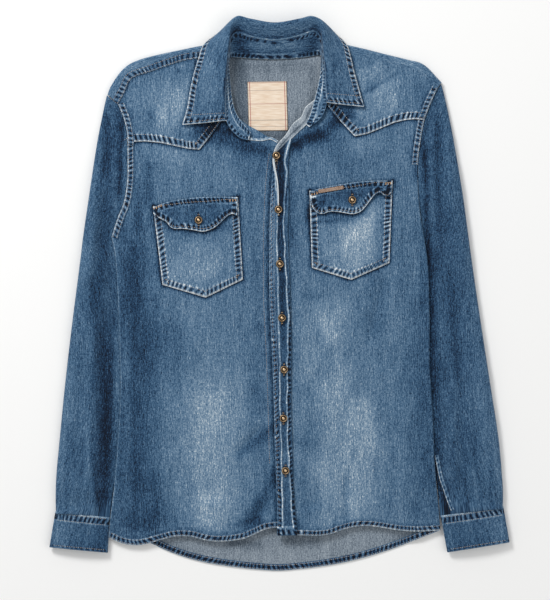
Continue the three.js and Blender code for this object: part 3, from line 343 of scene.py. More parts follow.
def cloth(name, points, materials, node=None, thickness=CLOTH, flip=False, uv=None, **marks):
    """A cloth wall on a grid of points, rows by columns, that lie on the middle of the cloth."""
    rows, columns = points.shape[0] - 1, points.shape[1] - 1
    grid = bmesh.new()
    bmesh.ops.create_grid(grid, x_segments=columns, y_segments=rows, size=0.5)
    if flip:
        bmesh.ops.reverse_faces(grid, faces=grid.faces)
    mesh = bpy.data.meshes.new(name)
    grid.to_mesh(mesh)
    grid.free()
    count = len(mesh.vertices)
    places = np.empty(count * 3)
    mesh.vertices.foreach_get("co", places)
    places = places.reshape(-1, 3)
    column = np.rint((places[:, 0] + 0.5) * columns).astype(int)
    row = np.rint((places[:, 1] + 0.5) * rows).astype(int)
    mesh.vertices.foreach_set("co", (points[row, column] * MM).ravel())
    sheets[name] = mesh, points, (row, column)
    for mark, values in marks.items():
        values = np.broadcast_to(values, points.shape[:2])
        layer = mesh.attributes.new(mark, "FLOAT", "POINT")
        layer.data.foreach_set("value", np.ascontiguousarray(values[row, column], dtype=np.float32))
    if uv is None:
        uv = points[..., :2]
    corner = np.empty(len(mesh.loops), dtype=np.int32)
    mesh.loops.foreach_get("vertex_index", corner)
    spread = (uv[row, column] * MM)[corner]
    mesh.uv_layers.new(name="cut").data.foreach_set("uv", spread.ravel())
    mesh.polygons.foreach_set("use_smooth", np.ones(len(mesh.polygons), dtype=bool))
    mesh.update()
    for material in materials:
        mesh.materials.append(material)
    piece = put_in_scene(name, mesh)
    wall = piece.modifiers.new("cloth wall", "SOLIDIFY")
    wall.thickness = thickness * MM
    wall.offset = 0
    wall.use_quality_normals = True
    if len(materials) > 1:
        wall.material_offset = 1
    if node:
        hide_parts(node)
    return piece


def declare(piece):
    """Gives the piece back as it is; it states nothing about its cut."""
    return piece


def linear(colour):
    """An sRGB hex colour as the linear values that a shader takes."""
    channels = [int(colour[i:i + 2], 16) / 255 for i in (1, 3, 5)]
    return [c / 12.92 if c <= 0.04045 else ((c + 0.055) / 1.055) ** 2.4 for c in channels] + [1]


def add_node(tree, kind, links=(), stops=(), **settings):
    """A node with its settings, a ramp's stops, and links as (own input, node, its output)."""
    node = tree.nodes.new(kind)
    for key, value in settings.items():
        setattr(node, key, value)
    while stops and len(node.color_ramp.elements) < len(stops):
        node.color_ramp.elements.new(0.5)
    for element, (place, colour) in zip(node.color_ramp.elements if stops else (), stops):
        element.position = place
        element.color = linear(colour)
    for own, other, output in links:
        if hasattr(other, "outputs"):
            tree.links.new(other.outputs[output], node.inputs[own])
        else:
            node.inputs[own].default_value = other
    return node


def new_material(name):
    """A material and its node tree, emptied."""
    material = bpy.data.materials.new(name)
    material.use_nodes = True
    material.node_tree.nodes.clear()
    return material, material.node_tree


TWILL_SPACING = 1.3


def denim(name, stops, streaks=0.85, mottle=1.35, roughness=0.92):
    """Washed denim: warp slubs run up the cut, weft shows pale where washing has worn the blue, and
    painted shade and painted shadow come in through its marks.
    """
    material, tree = new_material(name)
    cut = add_node(tree, "ShaderNodeUVMap", uv_map="cut")

    def pattern(across_mm, along_mm, detail, rough):
        size = (1 / (across_mm * MM), 1 / (along_mm * MM), 1)
        scaled = add_node(tree, "ShaderNodeMapping", [("Vector", cut, "UV"), ("Scale", size, None)])
        noise = add_node(tree, "ShaderNodeTexNoise", [
            ("Vector", scaled, "Vector"), ("Scale", 1.0, None), ("Detail", detail, None),
            ("Roughness", rough, None)], noise_dimensions="2D")
        return add_node(tree, "ShaderNodeMath", [(0, noise, 0), (1, -0.5, None)], operation="ADD")

    def weighed_sum(values):
        total = 0.0
        for value, output, weight in values:
            total = add_node(tree, "ShaderNodeMath", [
                (0, value, output), (1, weight, None), (2, total, 0)], operation="MULTIPLY_ADD")
        return total

    # The yarns lie 0.6 mm apart, too fine to show here, so the patterns are two or three yarns
    # wide: long slubs, short runs of worn warp, specks of weft, and the uneven fade of the wash.
    slub = pattern(1.8, 24, 3, 0.6)
    thread = pattern(1.4, 5.5, 2, 0.6)
    grain = pattern(1.6, 2.0, 2, 0.6)
    patch = pattern(4.5, 38, 3, 0.6)
    cloud = pattern(15, 70, 3, 0.55)
    # these marks hold the cloth's fade and wear, with painted shade and painted shadow added into
    # them
    wear_and_shade = [(add_node(tree, "ShaderNodeAttribute", attribute_name=mark), "Fac", weight)
            for mark, weight in (("wash", 0.5), ("ridge", 0.72), ("edge", 1.0))]
    total = weighed_sum(wear_and_shade + [
        (slub, 0, streaks), (thread, 0, streaks * 1.5), (grain, 0, mottle), (patch, 0, 0.3),
        (cloud, 0, 0.42)])
    place = add_node(tree, "ShaderNodeMapRange", [
        ("Value", total, 0), ("From Min", -1.0, None), ("From Max", 1.0, None)])
    ramp = add_node(tree, "ShaderNodeValToRGB", [("Fac", place, "Result")], stops)
    # The twill's real diagonals are 0.9 mm apart, and are drawn wider apart to show at all
    twill = add_node(tree, "ShaderNodeTexWave", [
        ("Vector", cut, "UV"), ("Scale", 1 / (TWILL_SPACING * MM) / 20 * math.pi, None),
        ("Distortion", 0.6, None)], bands_direction="DIAGONAL")
    relief = weighed_sum([(twill, "Fac", 0.4), (slub, 0, 1.2), (thread, 0, 0.8)])
    bump = add_node(tree, "ShaderNodeBump", [
        ("Height", relief, 0), ("Strength", 0.45, None), ("Distance", 0.35 * MM, None)])
    surface = add_node(tree, "ShaderNodeBsdfPrincipled", [
        ("Base Color", ramp, "Color"), ("Roughness", roughness, None), ("Normal", bump, "Normal"),
        ("Sheen Weight", 0.12, None), ("Sheen Roughness", 0.5, None), ("IOR", 1.5, None),
        ("Specular IOR Level", 0.2, None)])
    add_node(tree, "ShaderNodeOutputMaterial", [("Surface", surface, "BSDF")])
    return material


# The worn face: matt, from near black in the seams' hollows, partly painted shade, to almost white
# on their ridges
DENIM_FACE = denim("washed indigo denim", [
    (0.0, "#030f1f"), (0.14, "#0e2640"), (0.31, "#274867"), (0.5, "#4a6a87"), (0.69, "#6e88a0"),
    (0.85, "#98acbb"), (1.0, "#e3e8ea")])
# The wrong side shows the weft: a soft grey, speckled with the blue of the warp
DENIM_BACK = denim("wrong side of washed denim", [
    (0.0, "#263442"), (0.3, "#566370"), (0.5, "#7a8692"), (0.7, "#98a3ad"), (1.0, "#ced5d9")],
    streaks=0.6, mottle=1.5)

# Spans of the rows below the armhole, beside it up to the yoke, and from there to the shoulder
ROWS = (18, 4, 5)
FINE_ROWS = 11
FRONT_COLUMNS = 116


def stations(lower, middle, upper, fine=FINE_ROWS):
    """Points up a front's edge, spaced so that both edges share the rows' spans."""
    return np.vstack([
        spaced(lower, ROWS[0] * fine), spaced(middle, ROWS[1] * fine)[1:],
        spaced(upper, ROWS[2] * fine)[1:]])


side_stations_right = stations(SIDE_RIGHT, ARMHOLE_RIGHT[:5], ARMHOLE_RIGHT[4:])
side_stations_left = stations(SIDE_LEFT, ARMHOLE_LEFT[:5], ARMHOLE_LEFT[4:])
front_edge_right = [(x + OVERLAP, y) for x, y in PLACKET_EDGE]
front_edge_right[0] = HEM_RIGHT[-1]
front_edge_right[-1] = NECK_RIGHT[-1]
front_right = on_height(panel(
    side_stations_right,
    stations(front_edge_right[:9], front_edge_right[8:], NECK_RIGHT[::-1]),
    spaced(HEM_RIGHT, FRONT_COLUMNS), spaced(SHOULDER_SEAM_RIGHT, FRONT_COLUMNS)), front_height)
front_left = on_height(panel(
    stations(PLACKET_EDGE[:9], PLACKET_EDGE[8:], NECK_LEFT[::-1]), side_stations_left,
    spaced(HEM_LEFT, FRONT_COLUMNS), spaced(SHOULDER_SEAM_LEFT[::-1], FRONT_COLUMNS)),
    left_front_height)


# The right front's side seam is worn pale at its very edge
side_wear = np.zeros(FRONT_COLUMNS + 1)
side_wear[0] = 0.5
front_right_cloth = cloth("front_right_cloth", front_right, [DENIM_FACE, DENIM_BACK], "front_right",
                          wash=marks_on(BODY_WASH_AND_SHADE, front_right), ridge=0, edge=side_wear[None, :])
declare(front_right_cloth)
front_left_cloth = cloth("front_left_cloth", front_left, [DENIM_FACE, DENIM_BACK], "front_left",
                         wash=marks_on(BODY_WASH_AND_SHADE, front_left), ridge=0, edge=0)
declare(front_left_cloth)

# Seams and topstitching
# Every edge is folded and sewn with tan cotton thread, in rows of 3 mm stitches. Washing shrinks
# the thread and the seam puckers, and the ridges of the puckers wear pale while the hollows between
# them stay dark. Their colour also carries painted highlight on the ridges and painted shade in the
# hollows and over the whole seam.

PUCKER = 6.4
STITCH = 3.1
BAND_WALL = 0.8
BAND_STEP = 1.4
BAND_POINTS = 9

thread_lines = []


def roping(along, across, width, phase=0.0, strength=1.0, pitch=PUCKER):
    """Rise of the puckers over a seam as wide as width, and their wear with painted highlight and
    painted shade.
    """
    share = np.clip(across / width, 0, 1)
    window = np.sqrt(np.sin(math.pi * np.clip(share, 0.02, 0.98))) * (across > 0) * (across < width)
    drift = 2.2 * np.sin(along / 17.3 + phase) + 1.3 * np.sin(along / 7.1 + 2 * phase)
    lean = 0.45 * np.sin(along / 41 + phase)
    wave = np.sin(2 * math.pi * (along + drift + lean * across) / pitch)
    wave = wave * (0.85 + 0.15 * wave)
    uneven = 0.72 + 0.28 * np.sin(along / 23 + 3 * phase) * np.sin(along / 5.3 + phase)
    ridge = wave * uneven * window * strength
    # the colour goes past the wear: painted highlight on the ridges, painted shade in the hollows
    # and over the whole seam
    return 0.5 * ridge, 1.6 * ridge - 0.55 * window * strength


def falloff_line(across, width=1.3):
    """A soft line, highest at its middle and falling off as wide as width: mostly the pale line
    that wear leaves along a folded edge, in places a line of painted shade, and the curl of a
    flap's corner.
    """
    return np.exp(-((across / width) ** 2))


def beside(line, distance):
    """A line moved sideways in plan; a positive distance is to the left of its direction."""
    ahead = np.gradient(line, axis=0)
    square = np.column_stack([-ahead[:, 1], ahead[:, 0], np.zeros(len(line))])
    square /= np.maximum(np.linalg.norm(square, axis=1, keepdims=True), 1e-9)
    return line + square * distance


def nearest(points, line):
    """Distance to a polyline and length along it, for each place in plan."""
    flat = points[..., :2].reshape(-1, 2)
    start, step = line[:-1, :2], np.diff(line[:, :2], axis=0)
    size = np.maximum(np.sum(step**2, axis=1), 1e-9)
    run = np.concatenate([[0], np.cumsum(np.sqrt(size))])
    best = np.full(len(flat), 1e9)
    along = np.zeros(len(flat))
    for i in range(len(start)):
        share = np.clip(np.sum((flat - start[i]) * step[i], axis=1) / size[i], 0, 1)
        away = np.linalg.norm(flat - start[i] - share[:, None] * step[i], axis=1)
        closer = away < best
        best[closer] = away[closer]
        along[closer] = run[i] + share[closer] * math.sqrt(size[i])
    shape = points.shape[:2]
    return best.reshape(shape), along.reshape(shape)


def shade(name, line, width=2.4, strength=-0.8):
    """A line of painted shadow that a piece laid on top casts on a sheet beside its edge."""
    mesh, points, place = sheets[name]
    layer = mesh.attributes["wash"].data
    values = np.empty(len(layer), dtype=np.float32)
    layer.foreach_get("value", values)
    across, _ = nearest(points, line)
    values += (strength * np.exp(-((across / width) ** 2)))[place].astype(np.float32)
    layer.foreach_set("value", values)


def sew(line, height, thread, lift=0.55):
    """A row of stitches along a line in plan, on the cloth whose height is given."""
    points = line.copy()
    points[:, 2] = at_grid(height, points) + lift
    thread_lines.append((points, thread))


def band(name, line, width, height, lift, materials, phase=0.0, strength=1.0, wash=0.0, side=1):
    """A sewn-down seam of doubled cloth that lies on a panel beside its line."""
    count = max(int(length_of(line) / BAND_STEP), 4)
    stops = np.linspace(0, length_of(line), count + 1)
    base = along_line(line, stops)
    shares = np.linspace(0, 1, BAND_POINTS)
    across = shares * width
    points = np.stack([beside(base, side * distance) for distance in across], axis=1)
    along = np.repeat(stops[:, None], len(shares), axis=1)
    rise, ridge = roping(along, across[None, :], width, phase, strength)
    crown = np.sin(math.pi * np.clip(shares, 0.06, 0.94)) ** 0.4
    points[..., 2] = at_grid(height, points) + lift + 0.35 * crown[None, :] + rise
    ends = smooth(along / 6) * smooth((length_of(line) - along) / 6)
    points[..., 2] -= 0.5 * (1 - ends)
    uv = np.stack([np.broadcast_to(across, along.shape), along], axis=-1)
    pale = 1.1 * falloff_line(across) + 0.5 * falloff_line(across - 0.85 * width, 0.9)
    return cloth(name, points, materials, thickness=BAND_WALL, flip=side > 0, uv=uv,
                 wash=wash, ridge=ridge, edge=pale[None, :])


def stitched_band(name, line, width, height, lift, materials, side=1, rows=(1.6, 0.8), **looks):
    """A band with its rows of stitches, at shares of its width given from its edge in rows."""
    piece = band(name, line, width, height, lift, materials, side=side, **looks)
    for distance in (rows[0], width * rows[1]):
        sew(beside(line, side * distance), lambda x, y: height(x, y) + lift, "tan", 0.75)
    return piece


armhole_right_line = side_stations_right[ROWS[0] * FINE_ROWS:][::3]
armhole_left_line = side_stations_left[(ROWS[0] + ROWS[1] - 1) * FINE_ROWS:][::3]
seams = [
    stitched_band("front_right_hem", spaced(HEM_RIGHT, 180), 9, front_height, 0.5, [DENIM_FACE],
                  phase=0.4, wash=-0.3),
    stitched_band("front_left_hem", spaced(HEM_LEFT, 170), 8, left_front_height, 0.5,
                  [DENIM_FACE], phase=2.1, wash=-0.3),
    stitched_band("armhole_right_seam", beside(armhole_right_line, -0.5), 8.5, front_height, 0.6,
                  [DENIM_FACE], side=-1, phase=1.2, wash=-0.2, strength=1.0),
    stitched_band("armhole_left_seam", beside(armhole_left_line, 0.5), 8.5, left_front_height, 0.6,
                  [DENIM_FACE], side=1, phase=2.7, wash=-0.2, strength=1.0),
]
shade("front_right_cloth", beside(armhole_right_line, -9.5), 2.2, -0.5)
shade("front_left_cloth", beside(armhole_left_line, 9.5), 2.2, -0.5)
shade("front_right_cloth", beside(spaced(HEM_RIGHT, 60), 10), 2.2, -0.4)
shade("front_left_cloth", beside(spaced(HEM_LEFT, 60), 9), 2.2, -0.4)
shade("front_right_cloth", spaced(PLACKET_EDGE, 70) - [2, 0, 0], 2.8, -1.0)

# Front yokes
# Pointed western yokes of a second layer of denim, laid on the fronts from the shoulder seam down
# and sewn along their pointed edge with a wide puckered seam.

YOKE_RIGHT_EDGE = [
    (-215, 210), (-206.5, 216), (-191, 216.5), (-169.5, 214.5), (-148.5, 210), (-130, 206),
    (-113.5, 204.5), (-90, 234.5), (-72, 262),
]
YOKE_LEFT_EDGE = [
    (61, 276), (86, 245.5), (106.5, 223.5), (124, 227), (142.5, 234.5), (162.5, 243),
    (179.5, 247), (192.5, 248), (205, 247),
]
# How the front yokes have faded, with painted shade under the collar leaf's points, the same
# columns as the fronts' table
YOKE_WASH_AND_SHADE = [
    (-104, 240, -60, 228, 7, -1.2), (-146, 229, -106, 219, 6, -0.5), (58, 265, 84, 244, 8, -0.9),
    (96, 266, 119, 230, 7, -0.4), (106, 276, 172, 316, 4, -0.6), (105, 310, 145, 323, 8, 0.3),
    (198, 300, 212, 245, 8, -0.3), (-127, 234, -76, 234, 11, -1.1), (70, 264, 106, 250, 9, -0.8),
    (-140, 321, -147, 295, 9, -0.4), (-184, 304, -184, 258, 11, 0.3),
    (120, 298, 137, 287, 7, -0.45), (-113, 229, -70, 233, 11, -0.9), (60, 237, 98, 254, 9, -0.6),
    (143, 227, 171, 230, 9, 0.3), (-229, 267, -225, 233, 6, -0.4),
    (-175, 268, -120, 262, 38, 0.72), (-215, 262, -207, 225, 14, -0.2),
    (-196, 300, -90, 325, 14, -0.15), (-162, 306, -128, 300, 10, 0.25),
    (105, 290, 175, 276, 34, 0.65), (195, 300, 205, 255, 14, -0.1), (95, 330, 180, 318, 14, -0.1),
    (128, 300, 150, 312, 5, -0.25), (118, 268, 178, 296, 5, -0.2), (-150, 300, -138, 276, 5, 0.2),
    (-96, 250, -80, 300, 12, -0.3), (70, 250, 76, 310, 12, -0.3),
]


def laid_on(height, layers):
    """The height of a piece that lies on a surface, so many layers of cloth up."""
    return lambda x, y: height(x, y) + layers * (LAYER + SLACK)


def roped_edges(points, lines, width, phase=0.0, strength=1.0):
    """Puckers, with their wear and painted shade, beside the sewn edges of a piece: rise, ridge and
    edge marks.
    """
    rise = np.zeros(points.shape[:2])
    ridge = np.zeros(points.shape[:2])
    edge = np.zeros(points.shape[:2])
    for number, line in enumerate(lines):
        across, along = nearest(points, line)
        up, wear_and_shade = roping(along, across, width, phase + number, strength)
        stronger = np.abs(wear_and_shade) > np.abs(ridge)
        rise = np.where(stronger, up, rise)
        ridge = np.where(stronger, wear_and_shade, ridge)
        edge = np.maximum(edge, falloff_line(across) + 0.5 * falloff_line(across - 0.85 * width, 0.9))
    return rise, ridge, edge


YOKE_SPANS = 110
YOKE_STATIONS = 74
YOKE_STITCHES = (1.8, 9.5)


def yoke(name, node, side_line, edge, top, neck_line, height, phase):
    """A front yoke sewn down along its pointed edge, with its part of the armhole seam."""
    right = side_line[0, 0] < 0
    bottom = straight(edge, YOKE_SPANS)
    if right:
        plan = panel(side_line, neck_line, bottom, spaced(top, YOKE_SPANS))
    else:
        plan = panel(neck_line, side_line, bottom, spaced(top[::-1], YOKE_SPANS))
    points = on_height(plan, laid_on(height, 1))
    sewn = straight(edge, 160)
    rise, ridge, worn = roped_edges(points, [sewn], 12, phase, 1.3)
    points[..., 2] += rise
    piece = cloth(name, points, [DENIM_FACE], node, wash=marks_on(YOKE_WASH_AND_SHADE, points), ridge=ridge,
                  edge=1.3 * worn)
    for distance in YOKE_STITCHES:
        sew(beside(sewn, distance), laid_on(height, 1), "tan")
    way = -1 if right else 1
    front = "front_right" if right else "front_left"
    seams.append(stitched_band(
        name + "_armhole", beside(side_line, way * 0.5), 8.5, laid_on(height, 1), 0.6, [DENIM_FACE],
        side=way, phase=phase, wash=-0.2, strength=1.0))
    shade(name, beside(side_line, way * 9.5), 2.0, -0.5)
    shade(front + "_cloth", straight(edge, 70), 3.2, -1.4)
    declare(piece)


yoke(
    "yoke_right_cloth", "yoke_right",
    spaced([(-215, 210), (-216, 226), (-220, 245.5), (-228.5, 268.5)], YOKE_STATIONS),
    YOKE_RIGHT_EDGE, SHOULDER_SEAM_RIGHT,
    spaced([(-72, 262), (-71.5, 285), (-73, 310), (-75.5, 332.5)], YOKE_STATIONS),
    front_height, 0.3)
yoke(
    "yoke_left_cloth", "yoke_left",
    spaced([(205, 247), (209, 257), (213.5, 268.5), (224, 291.5)], YOKE_STATIONS),
    YOKE_LEFT_EDGE, SHOULDER_SEAM_LEFT,
    spaced([(61, 276), (61.5, 300), (62, 320), (63, 339.5)], YOKE_STATIONS),
    left_front_height, 1.6)

# Back and back yoke
# The back lies wrong side up under the fronts: its curved hem shows below them, and the inside of
# the back yoke shows in the neck. The yoke comes forward over both shoulders in a rolled fold to
# the forward shoulder seams.

HEM_BACK = [
    (-241.8, -345), (-212.5, -347), (-184, -353.5), (-162.5, -363), (-138.5, -372),
    (-104.5, -381), (-70.5, -386.5), (-36, -390.5), (-2, -392.6), (32, -390), (66, -385.5),
    (100, -379), (134, -370), (168.5, -358.5), (202.5, -345), (228, -335),
]
YOKE_SEAM_BACK = [
    (-215.5, 201.5), (-155.5, 196), (-77.5, 182), (-9, 167.5), (57.5, 183), (135.5, 199),
    (199, 210),
]
YOKE_TOP_BACK = [
    (-238, 277), (-205, 316), (-140, 337), (-98, 343), (-79, 341), (-64, 336), (-6.5, 333.5),
    (52, 339), (66, 343.5), (110, 338), (185, 321), (224.5, 293),
]
SHOULDER_FOLD_RIGHT = [
    (-243.5, 282.5), (-240.5, 291), (-232, 305.5), (-223.5, 316.5), (-213.5, 325), (-198, 332),
    (-169.5, 339.5), (-138.5, 346), (-106, 352), (-80, 351),
]
SHOULDER_FOLD_LEFT = [
    (229.5, 299.5), (219, 311), (209.5, 321), (199.5, 327.5), (185.5, 331), (151, 339.5),
    (117, 348), (92, 353), (68, 352),
]


def back_height(x, y):
    """Height of the back: on the surface in its middle, lifted by the sleeves at its sides."""
    inside = np.minimum(x - side_right_at(y), side_left_at(y) - x)
    fade = 1 - smooth((y - np.where(x < 0, 86, 107)) / 40)
    lift = 4.4 * (1 - smooth((inside - 26) / 26)) * fade
    return FLOOR + lift + 0.5 * smooth(inside / 30) * (1 + np.sin(x / 31 + y / 47)) * 0.5


BACK_COLUMNS = 112


def back_side(lower, middle):
    """The back's side edge, up the side seam and the armhole to the yoke seam."""
    return np.vstack([spaced(lower, ROWS[0] * 5), spaced(middle, ROWS[1] * 5)[1:]])


back_top = [(x, y - 2 * GAP) for x, y in YOKE_SEAM_BACK]
back = on_height(panel(
    back_side(SIDE_RIGHT, ARMHOLE_RIGHT[:5]), back_side(SIDE_LEFT, ARMHOLE_LEFT[:5]),
    spaced(HEM_BACK, BACK_COLUMNS), spaced(back_top, BACK_COLUMNS)), back_height)
# The back's tone below the fronts, with painted shadow under the fronts' hem and a dark line down
# it, the same columns
BACK_WASH_AND_SHADE = [
    (162, -361, 217, -338, 11, -1.2), (-120, -372, 120, -372, 14, 0.15),
    (-200, -352, -120, -368, 10, -0.2), (-80, -352, -20, -358, 7, -0.9),
    (0, -350, 60, -354, 7, -0.7), (75, -358, 76, -400, 2.2, -0.5),
]
back_cloth = cloth("back_cloth", back, [DENIM_BACK, DENIM_FACE], "back",
                   wash=marks_on(BACK_WASH_AND_SHADE, back), ridge=0, edge=0)
declare(back_cloth)
seams.append(stitched_band("back_hem", spaced(HEM_BACK, 320), 9, back_height, 0.55, [DENIM_FACE],
                           phase=1.1, wash=-0.85, strength=0.9))

YOKE_COLUMNS = 128
yoke_sheet = on_height(panel(
    np.vstack([spaced(ARMHOLE_RIGHT[4:], 30), [(-238, 277, 0)]]),
    np.vstack([spaced(ARMHOLE_LEFT[4:], 30), [(224.5, 293, 0)]]),
    spaced(YOKE_SEAM_BACK, YOKE_COLUMNS), spaced(YOKE_TOP_BACK, YOKE_COLUMNS)),
    lambda x, y: FLOOR + 0 * x)
# The inside of the back yoke, darker beside the collar with painted shade, the same columns
BACK_YOKE_WASH_AND_SHADE = [
    (-58, 360, -52, 225, 13, -1.0), (-40, 228, 20, 222, 9, -0.8), (46, 330, 44, 250, 7, -0.4),
    (-20, 310, 40, 310, 24, -0.1), (-60, 325, 50, 325, 10, -0.4),
]
back_yoke_cloth = cloth(
    "back_yoke_cloth", yoke_sheet, [DENIM_BACK, DENIM_FACE], "back_yoke",
    wash=marks_on(BACK_YOKE_WASH_AND_SHADE, yoke_sheet), ridge=0, edge=0)
declare(back_yoke_cloth)
ROLL_WASH = [
    (-225, 305, -180, 330, 12, 0.1), (200, 320, 130, 335, 14, 0.25),
    (-160, 338, -110, 345, 10, -0.1), (216, 306, 224, 296, 8, -0.3),
]
SHOULDER_ROWS = 96
SHOULDER_STITCHES = (2.2, 9.5)
HIDDEN_LEG = 14
ROLL_TURNS = 9


def shoulder_roll(name, fold, seam, flip, sewn):
    """The rolled strip of the yoke: a leg on the surface, the fold, and the top leg to the seam."""
    edge = spaced(fold, SHOULDER_ROWS)
    seam_line = spaced(seam, SHOULDER_ROWS)
    inward = seam_line - edge
    inward[:, 2] = 0
    reach = np.linalg.norm(inward, axis=1)
    inward /= reach[:, None]
    reach += 0 if sewn else 3.5
    top = at_grid(front_height, seam_line) + LAYER / 2
    radius = (top - FLOOR) / 2
    section = [(HIDDEN_LEG + 0 * reach, FLOOR + 0 * reach), (radius, FLOOR + 0 * reach)]
    for turn in np.linspace(0.1, 0.9, ROLL_TURNS) * math.pi:
        section.append((radius * (1 - math.sin(turn)), FLOOR + radius * (1 - math.cos(turn))))
    for share in np.linspace(0, 1, 17):
        section.append((radius + (reach - 2 * GAP - radius) * share, top + 0 * share))
    points = np.stack([edge + inward * out[:, None] + np.array([0, 0, 1]) * up[:, None]
                       for out, up in section], axis=1)
    from_seam = reach[:, None] - np.stack([out for out, _ in section], axis=1)
    along = np.linspace(0, length_of(edge), SHOULDER_ROWS + 1)
    along = np.repeat(along[:, None], len(section), axis=1)
    on_top = np.arange(len(section))[None, :] > ROLL_TURNS + 1
    rise, ridge = roping(along, from_seam, 11, phase=1.5, strength=1.0 if sewn else 0.0)
    points[..., 2] += np.where(on_top, rise + 0.3, 0) + at_grid(ripple, points) * on_top
    uv = np.stack([from_seam, along], axis=-1)
    piece = cloth(name, points, [DENIM_FACE], "back_yoke", flip=flip, uv=uv,
                  wash=marks_on(ROLL_WASH, points),
                  ridge=np.where(on_top, ridge, 0),
                  edge=np.where(on_top & sewn, 1.3 * falloff_line(from_seam), 0))
    for distance in SHOULDER_STITCHES if sewn else ():
        line = edge + inward * (reach - distance)[:, None]
        line[:, 2] = top + 0.95
        thread_lines.append((line, "tan"))
    declare(piece)


shoulder_roll("shoulder_right_cloth", SHOULDER_FOLD_RIGHT, SHOULDER_SEAM_RIGHT, True, True)
shade("yoke_right_cloth", spaced(SHOULDER_SEAM_RIGHT, 70), 2.2, -0.9)
shoulder_roll("shoulder_left_cloth", SHOULDER_FOLD_LEFT, SHOULDER_SEAM_LEFT, False, False)

# Sleeves
# Each sleeve is one piece of denim closed along the underarm, and lies folded flat beside the
# body with its seam tucked under the side. It falls in long soft folds and is gathered into the
# cuff.

SLEEVE_RIGHT_OUTER = [
    (-244.5, 281.5), (-249, 261.5), (-257.5, 218.5), (-270.5, 133.5), (-278.5, 78), (-282, 48.5),
    (-293, -37), (-303, -122), (-311.5, -207.5), (-316, -257), (-317, -285.5), (-316.5, -311),
]
SLEEVE_RIGHT_INNER = [
    (-238.6, 80), (-228, 54), (-214, 10), (-207, -60), (-206, -129), (-211, -193), (-222, -240),
    (-235, -275), (-237.8, -295), (-240.8, -319.5),
]
SLEEVE_LEFT_OUTER = [
    (229, 297.5), (232, 287), (238, 261.5), (246.5, 218.5), (260.5, 133.5), (265.5, 97),
    (272, 48.5), (284.5, -37), (297.5, -122), (310.5, -207.5), (315, -257), (316.5, -281),
    (316, -304),
]
SLEEVE_LEFT_INNER = [
    (201.6, 101), (195, 76), (189, 42), (191, -22), (193, -101), (199, -179), (209, -230),
    (222, -262), (225.4, -285), (227.8, -317),
]
SLEEVE_LOFT = [(-320, 4), (-280, 6), (-100, 6), (60, 6.5), (180, 5.5), (270, 2), (300, 0.5)]
SLEEVE_RIGHT_FOLDS = [
    (-243, 262, -243, 160, 9, -3.6), (-226, 250, -226, 130, 7, -2.4),
    (-244, 160, -262, -10, 9, -4.6), (-250, -25, -251, -300, 10, -6.2),
    (-270, 60, -284, -80, 12, 1.6), (-284, -120, -290, -260, 9, -2),
    (-268, -150, -275, -300, 7, 1.4), (-300, -150, -305, -290, 6, -1.3),
    (-258, 200, -270, 90, 5, 1.2), (-272, 20, -280, -60, 5, -0.9), (-262, -30, -266, -120, 5, 0.9),
    (-292, -60, -298, -140, 5, -0.8), (-278, -200, -282, -300, 4, -1.1),
    (-292, -255, -296, -306, 4, 1), (-304, -260, -308, -306, 3, -0.9),
    (-262, -262, -262, -308, 4, 1.1), (-270, -280, -271, -310, 3, -0.9),
]
SLEEVE_LEFT_FOLDS = [
    (226, 270, 229, 40, 9, -3.6), (212, 240, 212, 110, 7, 1.4), (240, 60, 226, -150, 11, -2.6),
    (250, 200, 262, 20, 12, 1.5), (252, 10, 262, -290, 9, -2.6), (228, -85, 243, -158, 6, -1.8),
    (280, -40, 296, -230, 14, 1.6), (274, -180, 282, -300, 6, -1.4),
    (238, 220, 246, 120, 5, 1.1), (256, -40, 268, -160, 5, 0.9), (270, 20, 282, -80, 6, -0.8),
    (244, -190, 252, -300, 4, 1.2), (262, -250, 266, -306, 3, 1), (288, -240, 294, -304, 4, -1),
    (300, -230, 304, -300, 4, 0.9), (250, -270, 252, -312, 3, -0.9), (236, -220, 240, -300, 4, -1),
]
# How the sleeves have faded, with painted shade in the folds' troughs and beside the body's sides,
# the same columns; this table and the next
SLEEVE_RIGHT_WASH_AND_SHADE = [
    (-252, -276, -246, -334, 10, -0.45), (-238, -55, -240, -235, 8, -0.35),
    (-231, 268, -226, 230, 6, -0.5), (-251, -264, -249, -310, 7, -0.15),
    (-245, -122, -244, -307, 7, -0.35), (-300, -80, -312, -300, 11, 0.35),
    (-266, 31, -263, -40, 10, -0.3), (-235, 204, -235, 148, 6, 0.35),
    (-258, 148, -272, 48, 11, 0.1), (-244, 262, -243, 150, 9, -0.75),
    (-227, 250, -228, 130, 6, -0.6), (-243, 150, -258, -20, 10, -0.7),
    (-249, -20, -250, -305, 12, -0.95), (-221, 268, -228, 112, 2.4, -0.5),
    (-236, 40, -234, -60, 7, -0.3), (-268, 200, -290, 0, 9, 0.2), (-280, 40, -296, -160, 9, 0.14),
    (-228, -20, -232, -160, 5, 0.35), (-292, -200, -300, -300, 6, -0.25),
    (-312, -240, -316, -300, 4, -0.15), (-272, -170, -277, -300, 6, 0.12),
    (-268, -215, -255, -312, 2.6, -0.5), (-278, -205, -281, -290, 2.6, -0.35),
    (-273, -190, -266, -300, 2.2, 0.35), (-247, 205, -260, 110, 3.5, -0.35),
    (-292, -225, -297, -312, 2.2, 0.35), (-300, -180, -305, -290, 2.5, -0.3),
]
